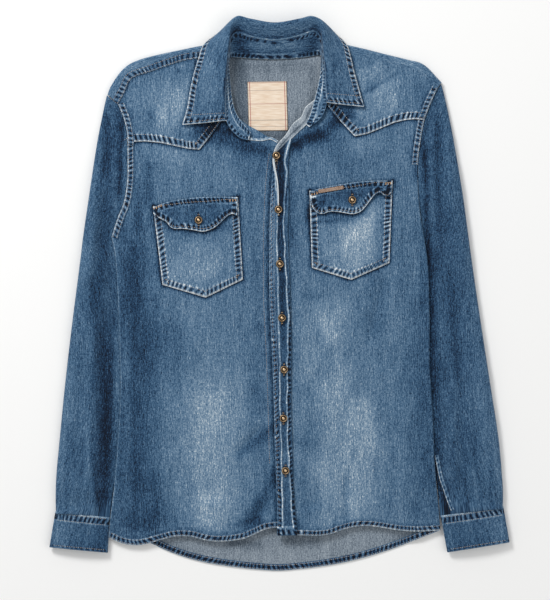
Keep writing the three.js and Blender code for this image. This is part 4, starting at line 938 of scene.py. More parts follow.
SLEEVE_LEFT_WASH_AND_SHADE = [
    (206, 218, 211, 36, 4.5, -0.9), (215, 250, 219, 66, 6, 0.12), (222, 285, 229, 5, 8, -0.5),
    (242, 115, 250, -130, 11, -0.35), (213, 85, 218, -150, 8, -0.9),
    (219, -105, 226, -270, 8, -0.7), (252, -20, 262, -300, 8, -0.2), (262, 200, 280, 0, 9, 0.15),
    (274, -20, 294, -260, 10, 0.25), (299, -55, 315, -315, 9, 0.38),
    (229, -85, 246, -168, 4, -0.35), (274, -170, 282, -310, 5, -0.2),
    (274, -245, 283, -312, 2.2, 0.5), (300, -225, 299, -305, 3, -0.3),
    (245, -195, 250, -300, 3.5, -0.3), (262, -235, 266, -312, 2.4, -0.35),
    (219, -225, 240, -325, 5, -1.2), (236, -262, 243, -330, 6, -0.6),
    (206, 265, 203, 180, 5, -0.5),
]


def gathers(x, y, cuff_y, side):
    """Short tucks where the sleeve's fullness is sewn into the cuff."""
    near = smooth((cuff_y + 34 - y) / 34)
    run = side * x + 3 * np.sin(y / 9)
    wide = 0.7 * np.sin(2 * math.pi * run / 13 + np.sin(run / 19))
    return near * (wide + 0.25 * np.sin(2 * math.pi * run / 7.7 + 1))


# Steps across a sleeve: over its top, round its outer edge and under it; and along each span
SLEEVE_TOP = 44
SLEEVE_TURNS = 7
SLEEVE_UNDER = 12
SLEEVE_FINE = 8
UNDERARM_RADIUS = 1.25
OUTER_RADIUS = 3
CUFF_LIFT = 3.1


def sleeve_grid(side, outer, inner, armhole, folds, side_at, underarm_y, cuff_y):
    """A sleeve folded flat: its points, its cut, which of them lie on top, and its top height."""
    fine = SLEEVE_FINE
    above = np.vstack([spaced(armhole[:5], ROWS[1] * fine)[:-1],
                       spaced(armhole[4:], ROWS[2] * fine)])
    above = above[::-1] + np.array([side * 0.7, 0, 0])
    inners = np.vstack([above, spaced(inner, ROWS[0] * fine)[1:]])
    last = len(inners) - 1
    table = spaced(outer, 400)

    def outer_x(y):
        return np.interp(-y, -table[:, 1], table[:, 0])

    end_share = smooth((np.arange(last + 1) - last) / fine / 4 + 1)
    outer_y = inners[:, 1] * (1 - end_share) + outer[-1][1] * end_share
    outer_y[:fine + 1] = np.linspace(table[0, 1], outer_y[fine], fine + 1)
    starts = np.column_stack([outer_x(outer_y), outer_y, 0 * outer_y])
    closed = np.arange(last + 1) > 9 * fine
    loft_at = across_at([(rise, y) for y, rise in SLEEVE_LOFT])
    seam = 2 * UNDERARM_RADIUS + FLOOR
    edge_rise = 2 * (OUTER_RADIUS - UNDERARM_RADIUS)

    def top_height(x, y):
        out = side * (x - side_at(y))
        at_armhole = (EDGE_HEIGHT - seam) * smooth((y - underarm_y - 4) / 36)
        rising = smooth((out - 4) / 26)
        turned = 1 - np.clip(side * (outer_x(y) - x) / 20, 0, 1)
        relief = rises(folds, x, y) + ripple(x, y) * 1.6 + gathers(x, y, cuff_y, side)
        loft = loft_at(y) * np.sqrt(1 - turned**2)
        return (seam + np.maximum(at_armhole * (1 - rising), 0) + edge_rise * rising
                + np.maximum((loft + relief) * rising, -0.6 * edge_rise))

    def bottom_height(y):
        return FLOOR + CUFF_LIFT * smooth((cuff_y - y) / 24 + 1)

    width = np.linalg.norm(inners - starts, axis=1)
    outer_radius = np.minimum(OUTER_RADIUS, width / 5)
    inner_radius = np.where(closed, UNDERARM_RADIUS, 0.0)

    def at(distance):
        return starts + (inners - starts) * (distance / width)[:, None]

    columns = []
    lift = bottom_height(inners[:, 1]) - FLOOR
    # the last rows sink into the cuff
    sunk = smooth(1 - (last - np.arange(last + 1)) * 2.8 / 7)
    shut = at(width)
    shut[:, 2] = bottom_height(inners[:, 1]) + inner_radius * 1.35
    for step in range(SLEEVE_TOP + 1):
        distance = outer_radius + (width - inner_radius - outer_radius) * (1 - step / SLEEVE_TOP)
        place = at(distance)
        place[:, 2] = at_grid(top_height, place) + lift
        in_cuff = 7.5 + 3.0 * math.sin(math.pi * step / SLEEVE_TOP) ** 0.7
        place[:, 2] = place[:, 2] * (1 - sunk) + in_cuff * sunk
        columns.append(place)
    before = columns[0] + (columns[0] - columns[1]) * 0.02
    columns.insert(0, np.where(closed[:, None], shut, before))
    top_end = columns[-1][:, 2]
    bottom_end = bottom_height(starts[:, 1])
    for turn in np.linspace(0.1, 0.9, SLEEVE_TURNS) * math.pi:
        place = at(outer_radius * (1 - math.sin(turn)))
        place[:, 2] = (top_end + bottom_end) / 2 + (top_end - bottom_end) / 2 * math.cos(turn)
        columns.append(place)
    for step in range(SLEEVE_UNDER + 1):
        distance = outer_radius + (width - inner_radius - outer_radius) * step / SLEEVE_UNDER
        place = at(distance)
        place[:, 2] = bottom_height(place[:, 1])
        columns.append(place)
    points = np.stack(columns, axis=1)
    run = lengths(points, 1)
    uv = np.stack([run, np.broadcast_to(-run_of(starts)[:, None], run.shape)], axis=-1)
    on_top = np.arange(points.shape[1])[None, :] < SLEEVE_TOP + 4
    return points, uv, on_top, lambda x, y: top_height(x, y) + bottom_height(y) - FLOOR


def sleeve(name, node, grid, wash, side):
    """A sleeve's cloth, whose fade and painted shade show on its top only."""
    points, uv, on_top, _ = grid
    dark = 0.5 if side > 0 else 0.42
    marks = marks_on(wash, points) * on_top - dark
    piece = cloth(name, points, [DENIM_FACE, DENIM_BACK], node, flip=side > 0, uv=uv,
                  wash=marks, ridge=0, edge=0)
    declare(piece)


sleeve_right_grid = sleeve_grid(-1, SLEEVE_RIGHT_OUTER, SLEEVE_RIGHT_INNER, ARMHOLE_RIGHT,
                                SLEEVE_RIGHT_FOLDS, side_right_at, 81, -308)
sleeve_left_grid = sleeve_grid(1, SLEEVE_LEFT_OUTER, SLEEVE_LEFT_INNER, ARMHOLE_LEFT,
                               SLEEVE_LEFT_FOLDS, side_left_at, 102, -301)
sleeve("sleeve_right_cloth", "sleeve_right", sleeve_right_grid, SLEEVE_RIGHT_WASH_AND_SHADE, -1)
sleeve("sleeve_left_cloth", "sleeve_left", sleeve_left_grid, SLEEVE_LEFT_WASH_AND_SHADE, 1)
# the edge of the opening above the left cuff
SLIT_LEFT = [(220.5, -229), (227, -262), (233, -279), (237.5, -293), (243, -307)]
seams.append(band("sleeve_left_opening", spaced(SLIT_LEFT, 40), 5, sleeve_left_grid[3], 0.5,
                  [DENIM_FACE], phase=0.5, strength=0.5, wash=-0.35))

# Cuffs
# Straight cuffs of doubled, stiffened denim, flattened round a hidden button, with a puckered seam
# at the top and a worn edge at the bottom.

CUFF_HEIGHT = 8.2
CUFF_RADIUS = 2.6
CUFF_WALL = 1.6
CUFF_STITCHES = (3.0, 12.0, 49.0)
CUFF_ROWS = 40
# Points round a cuff: on its top, round each edge and on its underside
CUFF_TOP = 56
CUFF_TURNS = 6
CUFF_UNDER = 14
# Columns length round the cuff from its outer edge, and fade with painted shade: the darkest place
# is painted shade in a fold
CUFF_RIGHT_WASH_AND_SHADE = [(0, 0.4), (20, 0.25), (52, -0.1), (74, -0.6), (90, 0)]
CUFF_LEFT_WASH_AND_SHADE = [(0, 0.3), (20, 0.15), (52, 0), (74, -0.3), (90, 0)]


def cuff(name, node, top_outer, top_inner, hem_outer, hem_inner, side):
    """A flattened ring of cloth between four corners in plan."""
    share = np.linspace(0, 1, CUFF_ROWS + 1)[:, None]
    start = np.array(top_outer) * (1 - share) + np.array(hem_outer) * share
    end = np.array(top_inner) * (1 - share) + np.array(hem_inner) * share
    width = np.linalg.norm(end - start, axis=1)
    low = CUFF_LIFT + 0.9
    sag = -1.2 * np.sin(math.pi * share[:, 0])
    columns = []

    def put(distance, z):
        place = start + (end - start) * (distance / width)[:, None]
        columns.append(np.column_stack([place, z + 0 * width]))

    for over in np.linspace(0, 1, CUFF_TOP):
        hump = math.sin(math.pi * over) ** 0.7
        put(CUFF_RADIUS + (width - 2 * CUFF_RADIUS) * over,
            low + 2 * CUFF_RADIUS + (CUFF_HEIGHT - 2 * CUFF_RADIUS + sag) * hump)
    turns = np.linspace(0.12, 0.88, CUFF_TURNS) * math.pi
    for turn in turns:
        put(width - CUFF_RADIUS * (1 - math.sin(turn)), low + CUFF_RADIUS * (1 + math.cos(turn)))
    for over in np.linspace(1, 0, CUFF_UNDER):
        put(CUFF_RADIUS + (width - 2 * CUFF_RADIUS) * over, low)
    for turn in turns:
        put(CUFF_RADIUS * (1 - math.sin(turn)), low + CUFF_RADIUS * (1 - math.cos(turn)))
    columns.append(columns[0])
    points = np.stack(columns, axis=1)
    on_top = np.arange(points.shape[1])[None, :] < CUFF_TOP + 4
    height = length_of(points[:, 0])
    across = np.repeat(share * height, points.shape[1], axis=1)
    run = lengths(points, 1)
    up_top, top_wear_and_shade = roping(run, across - 2, 10, 0.7 + side, 1.1)
    top_wear_and_shade = top_wear_and_shade + 0.15 * falloff_line(across - 5, 5)
    from_hem = height - across
    up_hem, hem_wear_and_shade = roping(run, from_hem, 5, 2.2 + side, 0.5)
    points[..., 2] += np.where(on_top, up_top + up_hem, 0)
    middle = CUFF_ROWS // 2
    wash = marks_on([(*start[middle, :2], *end[middle, :2], 14, 0.18)], points) - 0.5
    # a darker band across the middle of the cuff's top: painted shade of a fold
    wash -= 0.3 * falloff_line(run - width[0] * 0.42, 16) * (across > 9)
    wash += np.interp(run, *zip(*(CUFF_RIGHT_WASH_AND_SHADE if side < 0 else CUFF_LEFT_WASH_AND_SHADE)))
    piece = cloth(name, points, [DENIM_FACE, DENIM_BACK], node, thickness=CUFF_WALL, flip=side < 0,
                  uv=np.stack([run, across], axis=-1), wash=wash, ridge=top_wear_and_shade + hem_wear_and_shade,
                  edge=0.4 * falloff_line(from_hem, 1.2) + 0.9 * falloff_line(across - 0.8, 1.6)
                  + 0.6 * falloff_line(across - 12, 1.0))
    for distance in CUFF_STITCHES:
        row = min(int(distance / height * CUFF_ROWS), CUFF_ROWS)
        line = points[row, 1:CUFF_TOP - 1].copy()
        line[:, 2] += 0.85
        thread_lines.append((line, "tan"))
    declare(piece)


cuff("cuff_right_cloth", "cuff_right", (-317, -308), (-241.5, -316.5),
     (-325.5, -359), (-244, -366.5), -1)
cuff("cuff_left_cloth", "cuff_left", (316.5, -301), (229, -314),
     (325.5, -352), (238.5, -366), 1)

# Collar
# The stand rises round the neck and its ends lie back on the fronts; the leaf turns over it in a
# soft roll and lies down to two points. All its edges are double stitched and puckered.

# Points x, y, z along the neck seam, the stand's top, and the leaf's roll, fall and edge
COLLAR_SEAT = [
    (-40.5, 228, 11.8), (-47.5, 237, 11.8), (-56, 247, 11.8), (-63, 260, 10.4),
    (-67, 275.5, 9.8), (-69.5, 295.5, 9), (-71, 315, 8), (-71, 331, 6), (-68.5, 336, 4),
    (-63, 336, 2.8), (-56, 335.5, 2.5), (-39, 334, 2.4), (-6.5, 333, 2.4), (27.5, 335, 2.4),
    (46, 337.5, 2.5), (54.5, 339, 2.8), (58.5, 338, 4), (59, 329.5, 6), (58, 312.5, 8),
    (54.5, 294, 9.6), (48.5, 271, 10.4), (44, 255.5, 10.4), (40.5, 247, 10.4),
    (37.5, 240.5, 10.4),
]
COLLAR_TOP = [
    (-44, 218, 11.8), (-54.5, 220, 11.8), (-66, 229.5, 12.2), (-75, 244, 13.3),
    (-76.5, 264, 15.6), (-76.5, 287, 17.8), (-75.5, 311, 19.1), (-73, 336.5, 19.6),
    (-70.5, 352, 19.4), (-67.5, 363.5, 18.6), (-60.5, 369, 17.8), (-40.5, 363.5, 16.2),
    (-6.5, 358.5, 15.2), (29, 365, 16.2), (49, 371, 17.8), (57.5, 363.5, 18.6),
    (60.5, 352, 19.4), (63, 335, 19.6), (65, 315, 19.1), (66, 292.5, 17.2), (67, 271, 13.5),
    (60.5, 251.5, 11.8), (52, 243, 11), (42, 236.5, 10.6),
]
LEAF_ROLL = [
    (-77, 245, 15), (-78.5, 265, 18.5), (-78, 288.5, 21), (-76.5, 314, 23), (-74, 343.5, 24),
    (-71.5, 366.5, 25), (-69, 380.5, 25.5), (-59, 391, 26), (-42, 387.5, 25.5),
    (-6.5, 382, 24.5), (29, 387.5, 25.5), (46, 391, 26), (59.5, 383.5, 25.5), (62, 366.5, 25),
    (64, 343.5, 23.5), (66, 318, 22), (67, 294, 20), (68.8, 270.5, 15.6),
]
LEAF_FALL = [
    (-106, 242, 14.2), (-101.5, 265.5, 15.6), (-98.5, 288.5, 17), (-97.5, 312.5, 18),
    (-93, 338, 18.5), (-89, 359.5, 18), (-81.5, 373.5, 15), (-62, 390, 14), (-42, 387, 13),
    (-6.5, 381.5, 12.5), (29, 387, 13), (49, 390, 14), (71.5, 376.5, 15), (77.5, 360.5, 18),
    (80, 341, 18.5), (84.5, 316.5, 18), (89, 294, 16.6), (93, 267.5, 14.6),
]
LEAF_EDGE = [
    (-137.5, 239.5, 13.6), (-130.5, 264, 12.8), (-126.5, 288.5, 12.6), (-121.5, 311, 12.4),
    (-115, 332.5, 12.2), (-108, 352, 11.6), (-93, 365, 3.4), (-64.5, 379, 1.9),
    (-42, 376.5, 1.6), (-6.5, 370.5, 1.5), (29, 376.5, 1.6), (53, 379, 1.9), (81.5, 366, 3.4),
    (95, 353, 11.6), (101, 335, 12.2), (106, 314, 12.4), (112, 292, 12.8), (119.5, 265, 13.9),
]
# The leaf starts at this station of the stand
LEAF_FIRST = 3
STAND_POINTS = 17
LEAF_POINTS = 45
# Rows of stitches, columns distance from the leaf's long edge and row of points from its ends
LEAF_STITCHES = [(2.0, 2), (7.5, 7)]
# The stand's tone, with painted shade where the leaf's roll lies over it, the same columns
STAND_WASH_AND_SHADE = [
    (-70, 382, -46, 330, 11, -1.1), (60, 382, 40, 336, 9, -0.9), (-30, 352, 30, 352, 7, 0.35),
    (42, 266, 55, 242, 7, 0.5), (-60, 340, 50, 342, 8, -0.55), (-58, 360, 48, 362, 6, -0.7),
    (-70, 260, -72, 330, 6, 0.25), (60, 270, 60, 330, 6, 0.25),
]
LEAF_WASH = [
    (-62, 372, -60, 345, 9, -0.7), (50, 370, 52, 350, 8, -0.6), (-62, 382, -56, 350, 8, -0.9),
    (50, 382, 52, 355, 7, -0.9), (-97, 332, -100, 270, 12, 0.3), (72, 335, 78, 300, 8, 0.2),
    (-100, 300, -104, 260, 14, 0.12), (88, 320, 94, 280, 12, 0.1), (-84, 350, -88, 250, 5, -0.2),
    (75, 340, 80, 280, 5, -0.3), (-95, 372, -70, 385, 6, 0.2), (80, 330, 72, 300, 4, -0.4),
    (-118, 245, -90, 243, 6, -0.1),
]


def between(first, second, shares):
    """Rows between two curves that share their stations."""
    shares = np.asarray(shares)[None, :, None]
    return first[:, None] * (1 - shares) + second[:, None] * shares


stand_spans = len(COLLAR_SEAT) - 1
leaf_spans = len(LEAF_ROLL) - 1
stand_stations = np.linspace(0, 1, stand_spans * 10 + 1)
stand_seat = curve_at(COLLAR_SEAT, stand_stations)
stand_top = curve_at(COLLAR_TOP, stand_stations)
stand = between(stand_seat, stand_top, np.linspace(0, 1, STAND_POINTS))
stand_along = np.repeat(run_of(stand_seat)[:, None], STAND_POINTS, axis=1)
stand_across = lengths(stand, 1)
stand_height = stand_across[:, -1:]
stand_normals = normals_of(stand)
up_seat, seat_wear_and_shade = roping(stand_along, stand_across, 7, 0.9, 1.2, 4.9)
up_top, top_wear_and_shade = roping(stand_along, stand_height - stand_across - 1, 4.5, 2.4, 1.2, 4.9)
ends = np.minimum(stand_along, stand_along[-1, 0] - stand_along)
up_end, end_wear_and_shade = roping(stand_across, ends, 7, 1.7, 0.8)
stand_relief = up_seat + up_top + up_end
stand += stand_normals * stand_relief[..., None] * 0.6
stand_cloth = cloth(
    "collar_stand_cloth", stand, [DENIM_FACE], "collar_stand",
    uv=np.stack([stand_across, stand_along], axis=-1), wash=marks_on(STAND_WASH_AND_SHADE, stand) - 0.1,
    ridge=np.clip(seat_wear_and_shade + top_wear_and_shade + end_wear_and_shade, -1.3, 1.3),
    edge=falloff_line(stand_across, 1.0) * 0.9 + falloff_line(stand_across - 7.5, 0.9) * 0.7
    + falloff_line(ends, 1.2) * 1.1)
declare(stand_cloth)

leaf_shares = np.linspace(0, 1, leaf_spans * 13 + 1)
leaf_stations = (LEAF_FIRST + leaf_shares * leaf_spans) / stand_spans
leaf_seat = curve_at(COLLAR_SEAT, leaf_stations)
leaf_seam = curve_at(COLLAR_TOP, leaf_stations)
toward = leaf_seam - leaf_seat
leaf_seam = leaf_seam - toward / np.linalg.norm(toward, axis=1, keepdims=True) * 0.5
leaf_roll = curve_at(LEAF_ROLL, leaf_shares)
leaf_fall = curve_at(LEAF_FALL, leaf_shares)
leaf_edge = curve_at(LEAF_EDGE, leaf_shares)
leaf = np.stack([curve_at([leaf_seam[i], leaf_roll[i], leaf_fall[i], leaf_edge[i]],
                          np.linspace(0, 1, LEAF_POINTS)) for i in range(len(leaf_shares))])
leaf_across = lengths(leaf, 1)
leaf_from_edge = leaf_across[:, -1:] - leaf_across
leaf_along = np.repeat(run_of(leaf[:, -1])[:, None], LEAF_POINTS, axis=1)
leaf_ends = np.minimum(lengths(leaf, 0), lengths(leaf[::-1], 0)[::-1])
up_edge, edge_wear_and_shade = roping(leaf_along, leaf_from_edge, 9, 0.2, 1.25)
up_front, front_wear_and_shade = roping(leaf_across, leaf_ends, 10, 1.3, 1.25)
edge_wear_and_shade = (edge_wear_and_shade + 1.0 * falloff_line(leaf_across - 1.2, 1.1)
             - 0.5 * falloff_line(leaf_across - 4.5, 2))
front_stronger = np.abs(front_wear_and_shade) > np.abs(edge_wear_and_shade)
leaf_relief = np.where(front_stronger, up_front, up_edge)
leaf_normals = normals_of(leaf)
leaf_normals *= np.sign(np.sum(leaf_normals * np.array([0, 0, 1]), axis=2, keepdims=True) + 1e-6)
leaf += leaf_normals * leaf_relief[..., None]
leaf_cloth = cloth(
    "collar_leaf_cloth", leaf, [DENIM_FACE], "collar_leaf", flip=True,
    uv=np.stack([leaf_across, leaf_along], axis=-1), wash=marks_on(LEAF_WASH, leaf) - 0.3,
    ridge=np.where(front_stronger, front_wear_and_shade, edge_wear_and_shade),
    edge=1.3 * np.maximum(falloff_line(leaf_from_edge, 1.5), falloff_line(leaf_ends, 1.5))
    + 0.55 * np.maximum(falloff_line(leaf_from_edge - 7.5, 0.9), falloff_line(leaf_ends - 8.5, 0.9)))
declare(leaf_cloth)
leaf_outline = np.vstack([leaf[0, ::3], leaf[::4, -1], leaf[-1, ::-3]])
for name in ("yoke_right_cloth", "yoke_left_cloth", "front_right_cloth", "front_left_cloth"):
    shade(name, leaf_outline, 4.0, -0.9)
for name in ("front_right_cloth", "front_left_cloth"):
    shade(name, np.vstack([stand[::4, -1][:12], stand[:1, ::-4].reshape(-1, 3)]), 3.4, -0.9)
    shade(name, stand[::4, -1][-14:], 3.4, -0.9)


def surface_line(points, normals, rows, columns, lift):
    """Points of a grid at rows and columns, lifted off its surface."""
    rows, columns = np.broadcast_arrays(rows, columns)
    return points[rows, columns] + normals[rows, columns] * lift


every_leaf_row = np.arange(4, leaf.shape[0] - 4)
front_columns = np.arange(14, 43)
for distance, end_row in LEAF_STITCHES:
    column = np.argmin(np.abs(leaf_from_edge - distance), axis=1)[every_leaf_row]
    thread_lines.append((surface_line(leaf, leaf_normals, every_leaf_row, column, 0.6), "tan"))
    for row in (end_row, leaf.shape[0] - 1 - end_row):
        thread_lines.append((surface_line(leaf, leaf_normals, row, front_columns, 0.6), "tan"))
stand_rows = np.arange(3, stand.shape[0] - 3)
# two rows beside the neck seam and one near the stand's top
for column in (1, 6, 14):
    thread_lines.append((surface_line(stand, stand_normals, stand_rows, column, 0.6), "tan"))

# Placket and neck edge
# The buttonhole placket is a folded strip sewn down the left front; it has puckered into two ridges
# with a dark valley between them, partly painted shade. At the neck the front's edge turns its pale
# side out.

PLACKET_SEAM = [
    (25, -341.5), (22, -306.5), (19, -264), (18, -207.5), (16.5, -164.5), (16.5, -65.5),
    (15, -8.5), (13, 48.5), (11.5, 91), (13, 133.5), (12, 183), (16.5, 221),
]
# Where the two ridges run
RIDGE_LEFT = [
    (-10.7, 205), (-9, 190), (-7, 176), (-3.6, 140.5), (-3.6, 69.5), (-2, -8.5), (0, -79.5),
    (0.7, -150.5), (2, -207), (3.6, -264), (4.3, -345),
]
RIDGE_RIGHT = [
    (16, 222), (11, 204), (7.5, 190), (9.5, 173), (9.2, 155), (6.4, 126.5), (5.7, 98), (8.5, 41),
    (10.7, -1.5), (12.8, -37), (11.4, -79.5), (10.7, -150.5), (11.5, -207), (14.9, -264),
    (18.5, -320), (21, -345),
]
# Columns place between the ridges (under 0 left of them and over 1 right of them), rise, and wear
# with painted shade in the valley
PLACKET_SECTION = [
    (-2, 0, 0), (-0.75, 0.9, 0), (-0.32, 1.0, -0.2), (-0.16, 1.4, -0.9), (-0.07, 2.0, 0.3),
    (0, 2.1, 1.9), (0.07, 1.7, 0.3), (0.14, 1.1, -1.1), (0.3, 0.2, -1.3), (0.75, 0.2, -1.3),
    (0.87, 1.1, -1.1), (0.94, 1.8, 0.5), (1, 2.0, 1.9), (1.06, 1.8, 0.5), (1.13, 1.3, -1.0),
    (1.4, 0.8, -0.1), (3, 0, 0),
]

# The placket's tone: a run of painted shade down from the neck, and a paler and a darker patch
# lower down, the same columns
PLACKET_WASH_AND_SHADE = [(0, 232, 2, 110, 7, -0.4), (7, -218, 8, -268, 6, 0.5), (3, 20, 7, -90, 6, -0.2)]

placket_rows = 320
placket_columns = 44
placket_left = spaced(PLACKET_EDGE, placket_rows)
placket_right = spaced(PLACKET_SEAM, placket_rows)
placket_shares = np.linspace(0, 1, placket_columns + 1)
place_at, section_rise, section_wear_and_shade = (np.array(c) for c in zip(*PLACKET_SECTION))
placket = between(placket_left, placket_right, placket_shares)
placket_along = np.repeat(
    np.linspace(0, length_of(placket_left), placket_rows + 1)[:, None], placket_columns + 1, axis=1)
placket_laid = laid_on(left_front_height, 1)
placket[..., 2] = at_grid(placket_laid, placket)
ridge_left = across_at(RIDGE_LEFT)(placket[..., 1])
ridge_right = across_at(RIDGE_RIGHT)(placket[..., 1])
ridge_left += 0.35 * np.sin(placket_along / 6.1) + 0.3 * np.sin(placket_along / 17)
ridge_right += 0.45 * np.sin(placket_along / 7.7) + 0.3 * np.sin(placket_along / 3.9)
ridge_place = (placket[..., 0] - ridge_left) / (ridge_right - ridge_left)
placket[..., 2] += np.interp(ridge_place, place_at, section_rise)
placket_wear_and_shade = np.interp(ridge_place, place_at, section_wear_and_shade)
from_left = placket_shares[None, :] * np.linalg.norm(placket_right - placket_left, axis=1)[:, None]
lower = smooth((60 - placket[..., 1]) / 160)
in_valley = smooth(ridge_place / 0.2) * smooth((1 - ridge_place) / 0.2)
placket_wear_and_shade += 0.75 * lower * in_valley + 0.25 * (1 - lower) * (ridge_place < -0.1)
up_left, left_wear_and_shade = roping(placket_along, from_left + 0.01, 6.5, 0.5, 1)
up_right, right_wear_and_shade = roping(placket_along, placket[..., 0] - ridge_right, 5.5, 1.9, 1)
left_wear_and_shade = left_wear_and_shade * (0.7 + 0.3 * lower)
# right of the right ridge the cloth is darkened: painted shade on its slope
right_wear_and_shade = (right_wear_and_shade - 0.25 * (ridge_place > 1.05)) * lower
placket[..., 2] += 0.6 * (up_left * (0.7 + 0.3 * lower) + up_right * lower)
bottom_hem = smooth((-329 - placket[..., 1]) / 2)
up_hem, hem_wear_and_shade = roping(from_left * 0.8, placket[..., 1] + 342, 9, 0.4, 1)
placket_wear_and_shade = placket_wear_and_shade * (1 - bottom_hem) - 0.1 * bottom_hem
placket[..., 2] += 0.8 * bottom_hem
placket_wear_and_shade += marks_on(PLACKET_WASH_AND_SHADE, placket) - 0.1
placket_cloth = cloth(
    "placket_cloth", placket, [DENIM_FACE], "placket",
    uv=np.stack([from_left, placket_along], axis=-1), wash=placket_wear_and_shade,
    ridge=left_wear_and_shade + right_wear_and_shade + bottom_hem * hem_wear_and_shade,
    edge=0.45 * falloff_line(from_left, 1.0) + 0.7 * falloff_line(placket[..., 1] + 330, 1.2))
declare(placket_cloth)
for share, thread in ((0.1, "tan"), (0.24, "brown")):
    sew((placket_left * (1 - share) + placket_right * share)[4:-4], placket_laid, thread, 1.3)
# the seam that holds the placket down, a little way in on the right front's side
sew(placket_left[60:] + np.array([-8.5, 0, 0]), front_height, "brown")

# The rolled edge goes on down the placket's left ridge; columns x, y and width
FACING_EDGE = [
    (53, 274, 5), (47.5, 258.5, 13), (39, 243, 14.5), (27.5, 231.5, 12.5), (16.5, 221, 11.5),
    (5, 210, 8.5), (-5, 199, 5), (-8.3, 190, 3), (-6.8, 178, 2.4), (-3.6, 160, 2.0),
    (-2.2, 138, 1.7), (-2.4, 112, 1.2),
]
facing_rows = 180
facing_line = curve_at(FACING_EDGE, np.linspace(0, 1, facing_rows + 1))
facing_width = facing_line[:, 2] * (1 + 0.12 * np.sin(np.arange(facing_rows + 1) / 6.3))
facing_line[:, 2] = 0
facing_in = facing_line - beside(facing_line, 1.0)
facing_shares = np.linspace(0, 1, 17)
facing = np.stack([facing_line + facing_in * (facing_width[:, None] * share - 1.2)
                   for share in facing_shares], axis=1)
on_placket = smooth((205 - facing[..., 1]) / 12)
above_front = at_grid(front_height, facing) + LAYER + 2 * SLACK + 0.5
above_placket = at_grid(left_front_height, facing) + LAYER + SLACK + 2.6
facing[..., 2] = above_front * (1 - on_placket) + above_placket * on_placket
facing_wave = np.sin(np.arange(facing_rows + 1) / 4.7)[:, None]
facing[..., 2] += 0.25 * facing_wave
facing[..., 2] += 0.9 * np.abs(facing_shares[None, :] - 0.42) * (1 - on_placket)
# the front's own edge is blue, the turned side beyond its fold is pale, and a dark line of painted
# shade runs in the crease of the fold
facing_fold = 0.42 + 0.06 * np.sin(np.arange(facing_rows + 1) / 9)[:, None]
facing_blue = smooth((facing_fold - facing_shares[None, :]) / 0.08 + 0.5)
facing_crease_shade = falloff_line(facing_shares[None, :] - facing_fold, 0.09) * (1 - on_placket)
facing_wash = 0.45 - 0.35 * facing_blue - 1.4 * facing_crease_shade + 0.5 * on_placket
facing_away = np.minimum(facing_shares, 1 - facing_shares)[None, :] * facing_width[:, None]
facing_cloth = cloth("neck_facing_cloth", facing, [DENIM_BACK], "neck_facing", thickness=0.9,
                     wash=facing_wash, ridge=0.25 * facing_wave * (1 - on_placket),
                     edge=0.75 * falloff_line(facing_away, 1.1))
declare(facing_cloth)
# the right front's own neck edge, turned over in a narrow worn fold
NECK_FOLD = [(-44, 218.5), (-25, 217), (-13, 219), (-3, 214)]
seams.append(band("front_right_neck_fold", spaced(NECK_FOLD, 40), 3.2, front_height, 1.2,
                  [DENIM_FACE], phase=0.8, strength=0.3, wash=0.3))

# Pockets, flaps and tab
# Patch pockets with a pointed bottom, double stitched, and shaped flaps that stand off them with a
# button. Tan bar tacks hold the corners; a small leather tab is sewn to the left flap's top.

POCKET_RIGHT = [(-179, 124), (-165.5, 13), (-104.5, -5), (-52, 20.5), (-59, 137)]
POCKET_RIGHT_TOP = [
    (-179, 122.5), (-162.5, 129), (-141.5, 133.5), (-115.5, 136.5), (-87.5, 137.5), (-59.5, 137)]
FLAP_RIGHT = [
    (-178, 114), (-172.5, 109), (-165, 105), (-159, 101), (-155, 95.5), (-149, 92.5),
    (-137, 92.5), (-122, 90.5), (-108.5, 88.3), (-98, 91), (-90, 95.5), (-80, 104.5),
    (-71.5, 112), (-65.5, 113.5), (-60.5, 111),
]
POCKET_LEFT = [(42.5, 146), (46, 37), (101.5, 20), (155.5, 44), (160, 160)]
POCKET_LEFT_TOP = [(42.5, 145.5), (64.5, 151), (93, 156), (125.5, 160), (160, 160.5)]
FLAP_LEFT = [
    (44.5, 133.5), (47.5, 121.5), (53, 115.5), (61, 113.4), (71, 116.6), (81, 116.4),
    (91, 114.8), (104, 113.2), (114.5, 116.5), (122, 124), (129, 133.5), (136, 141.5),
    (142, 143.8), (148, 139.8), (153, 138.2), (157, 143.5),
]
# How the pockets have faded, paler in their middles, with painted shadow just under the flaps, the
# same columns
POCKET_WASH_AND_SHADE = [
    (118, 104, 112, 42, 7, -0.3), (-175, 84, -165, 10, 9, 0.25), (108, 78, 146, 128, 13, 0.65),
    (84, 74, 130, 92, 22, 0.3), (90, 92, 124, 36, 24, 0.35), (-170, 97, -56, 92, 6, -0.5),
    (49, 102, 103, 105, 4, -0.5), (-140, 70, -85, 30, 36, 0.5), (-150, 40, -100, 12, 20, 0.3),
    (95, 80, 120, 40, 40, 0.55), (72, 88, 135, 100, 15, 0.3), (-158, 84, -156, 14, 7, 0.45),
    (60, 100, 70, 50, 16, 0.25), (-165, 100, -158, 20, 9, -0.25), (48, 110, 50, 50, 8, -0.3),
    (150, 130, 150, 50, 9, -0.3), (-62, 110, -58, 30, 8, -0.2), (118, 88, 100, 60, 5, -0.15),
    (-155, 82, -80, 80, 8, -0.35), (55, 108, 130, 112, 7, -0.3),
]
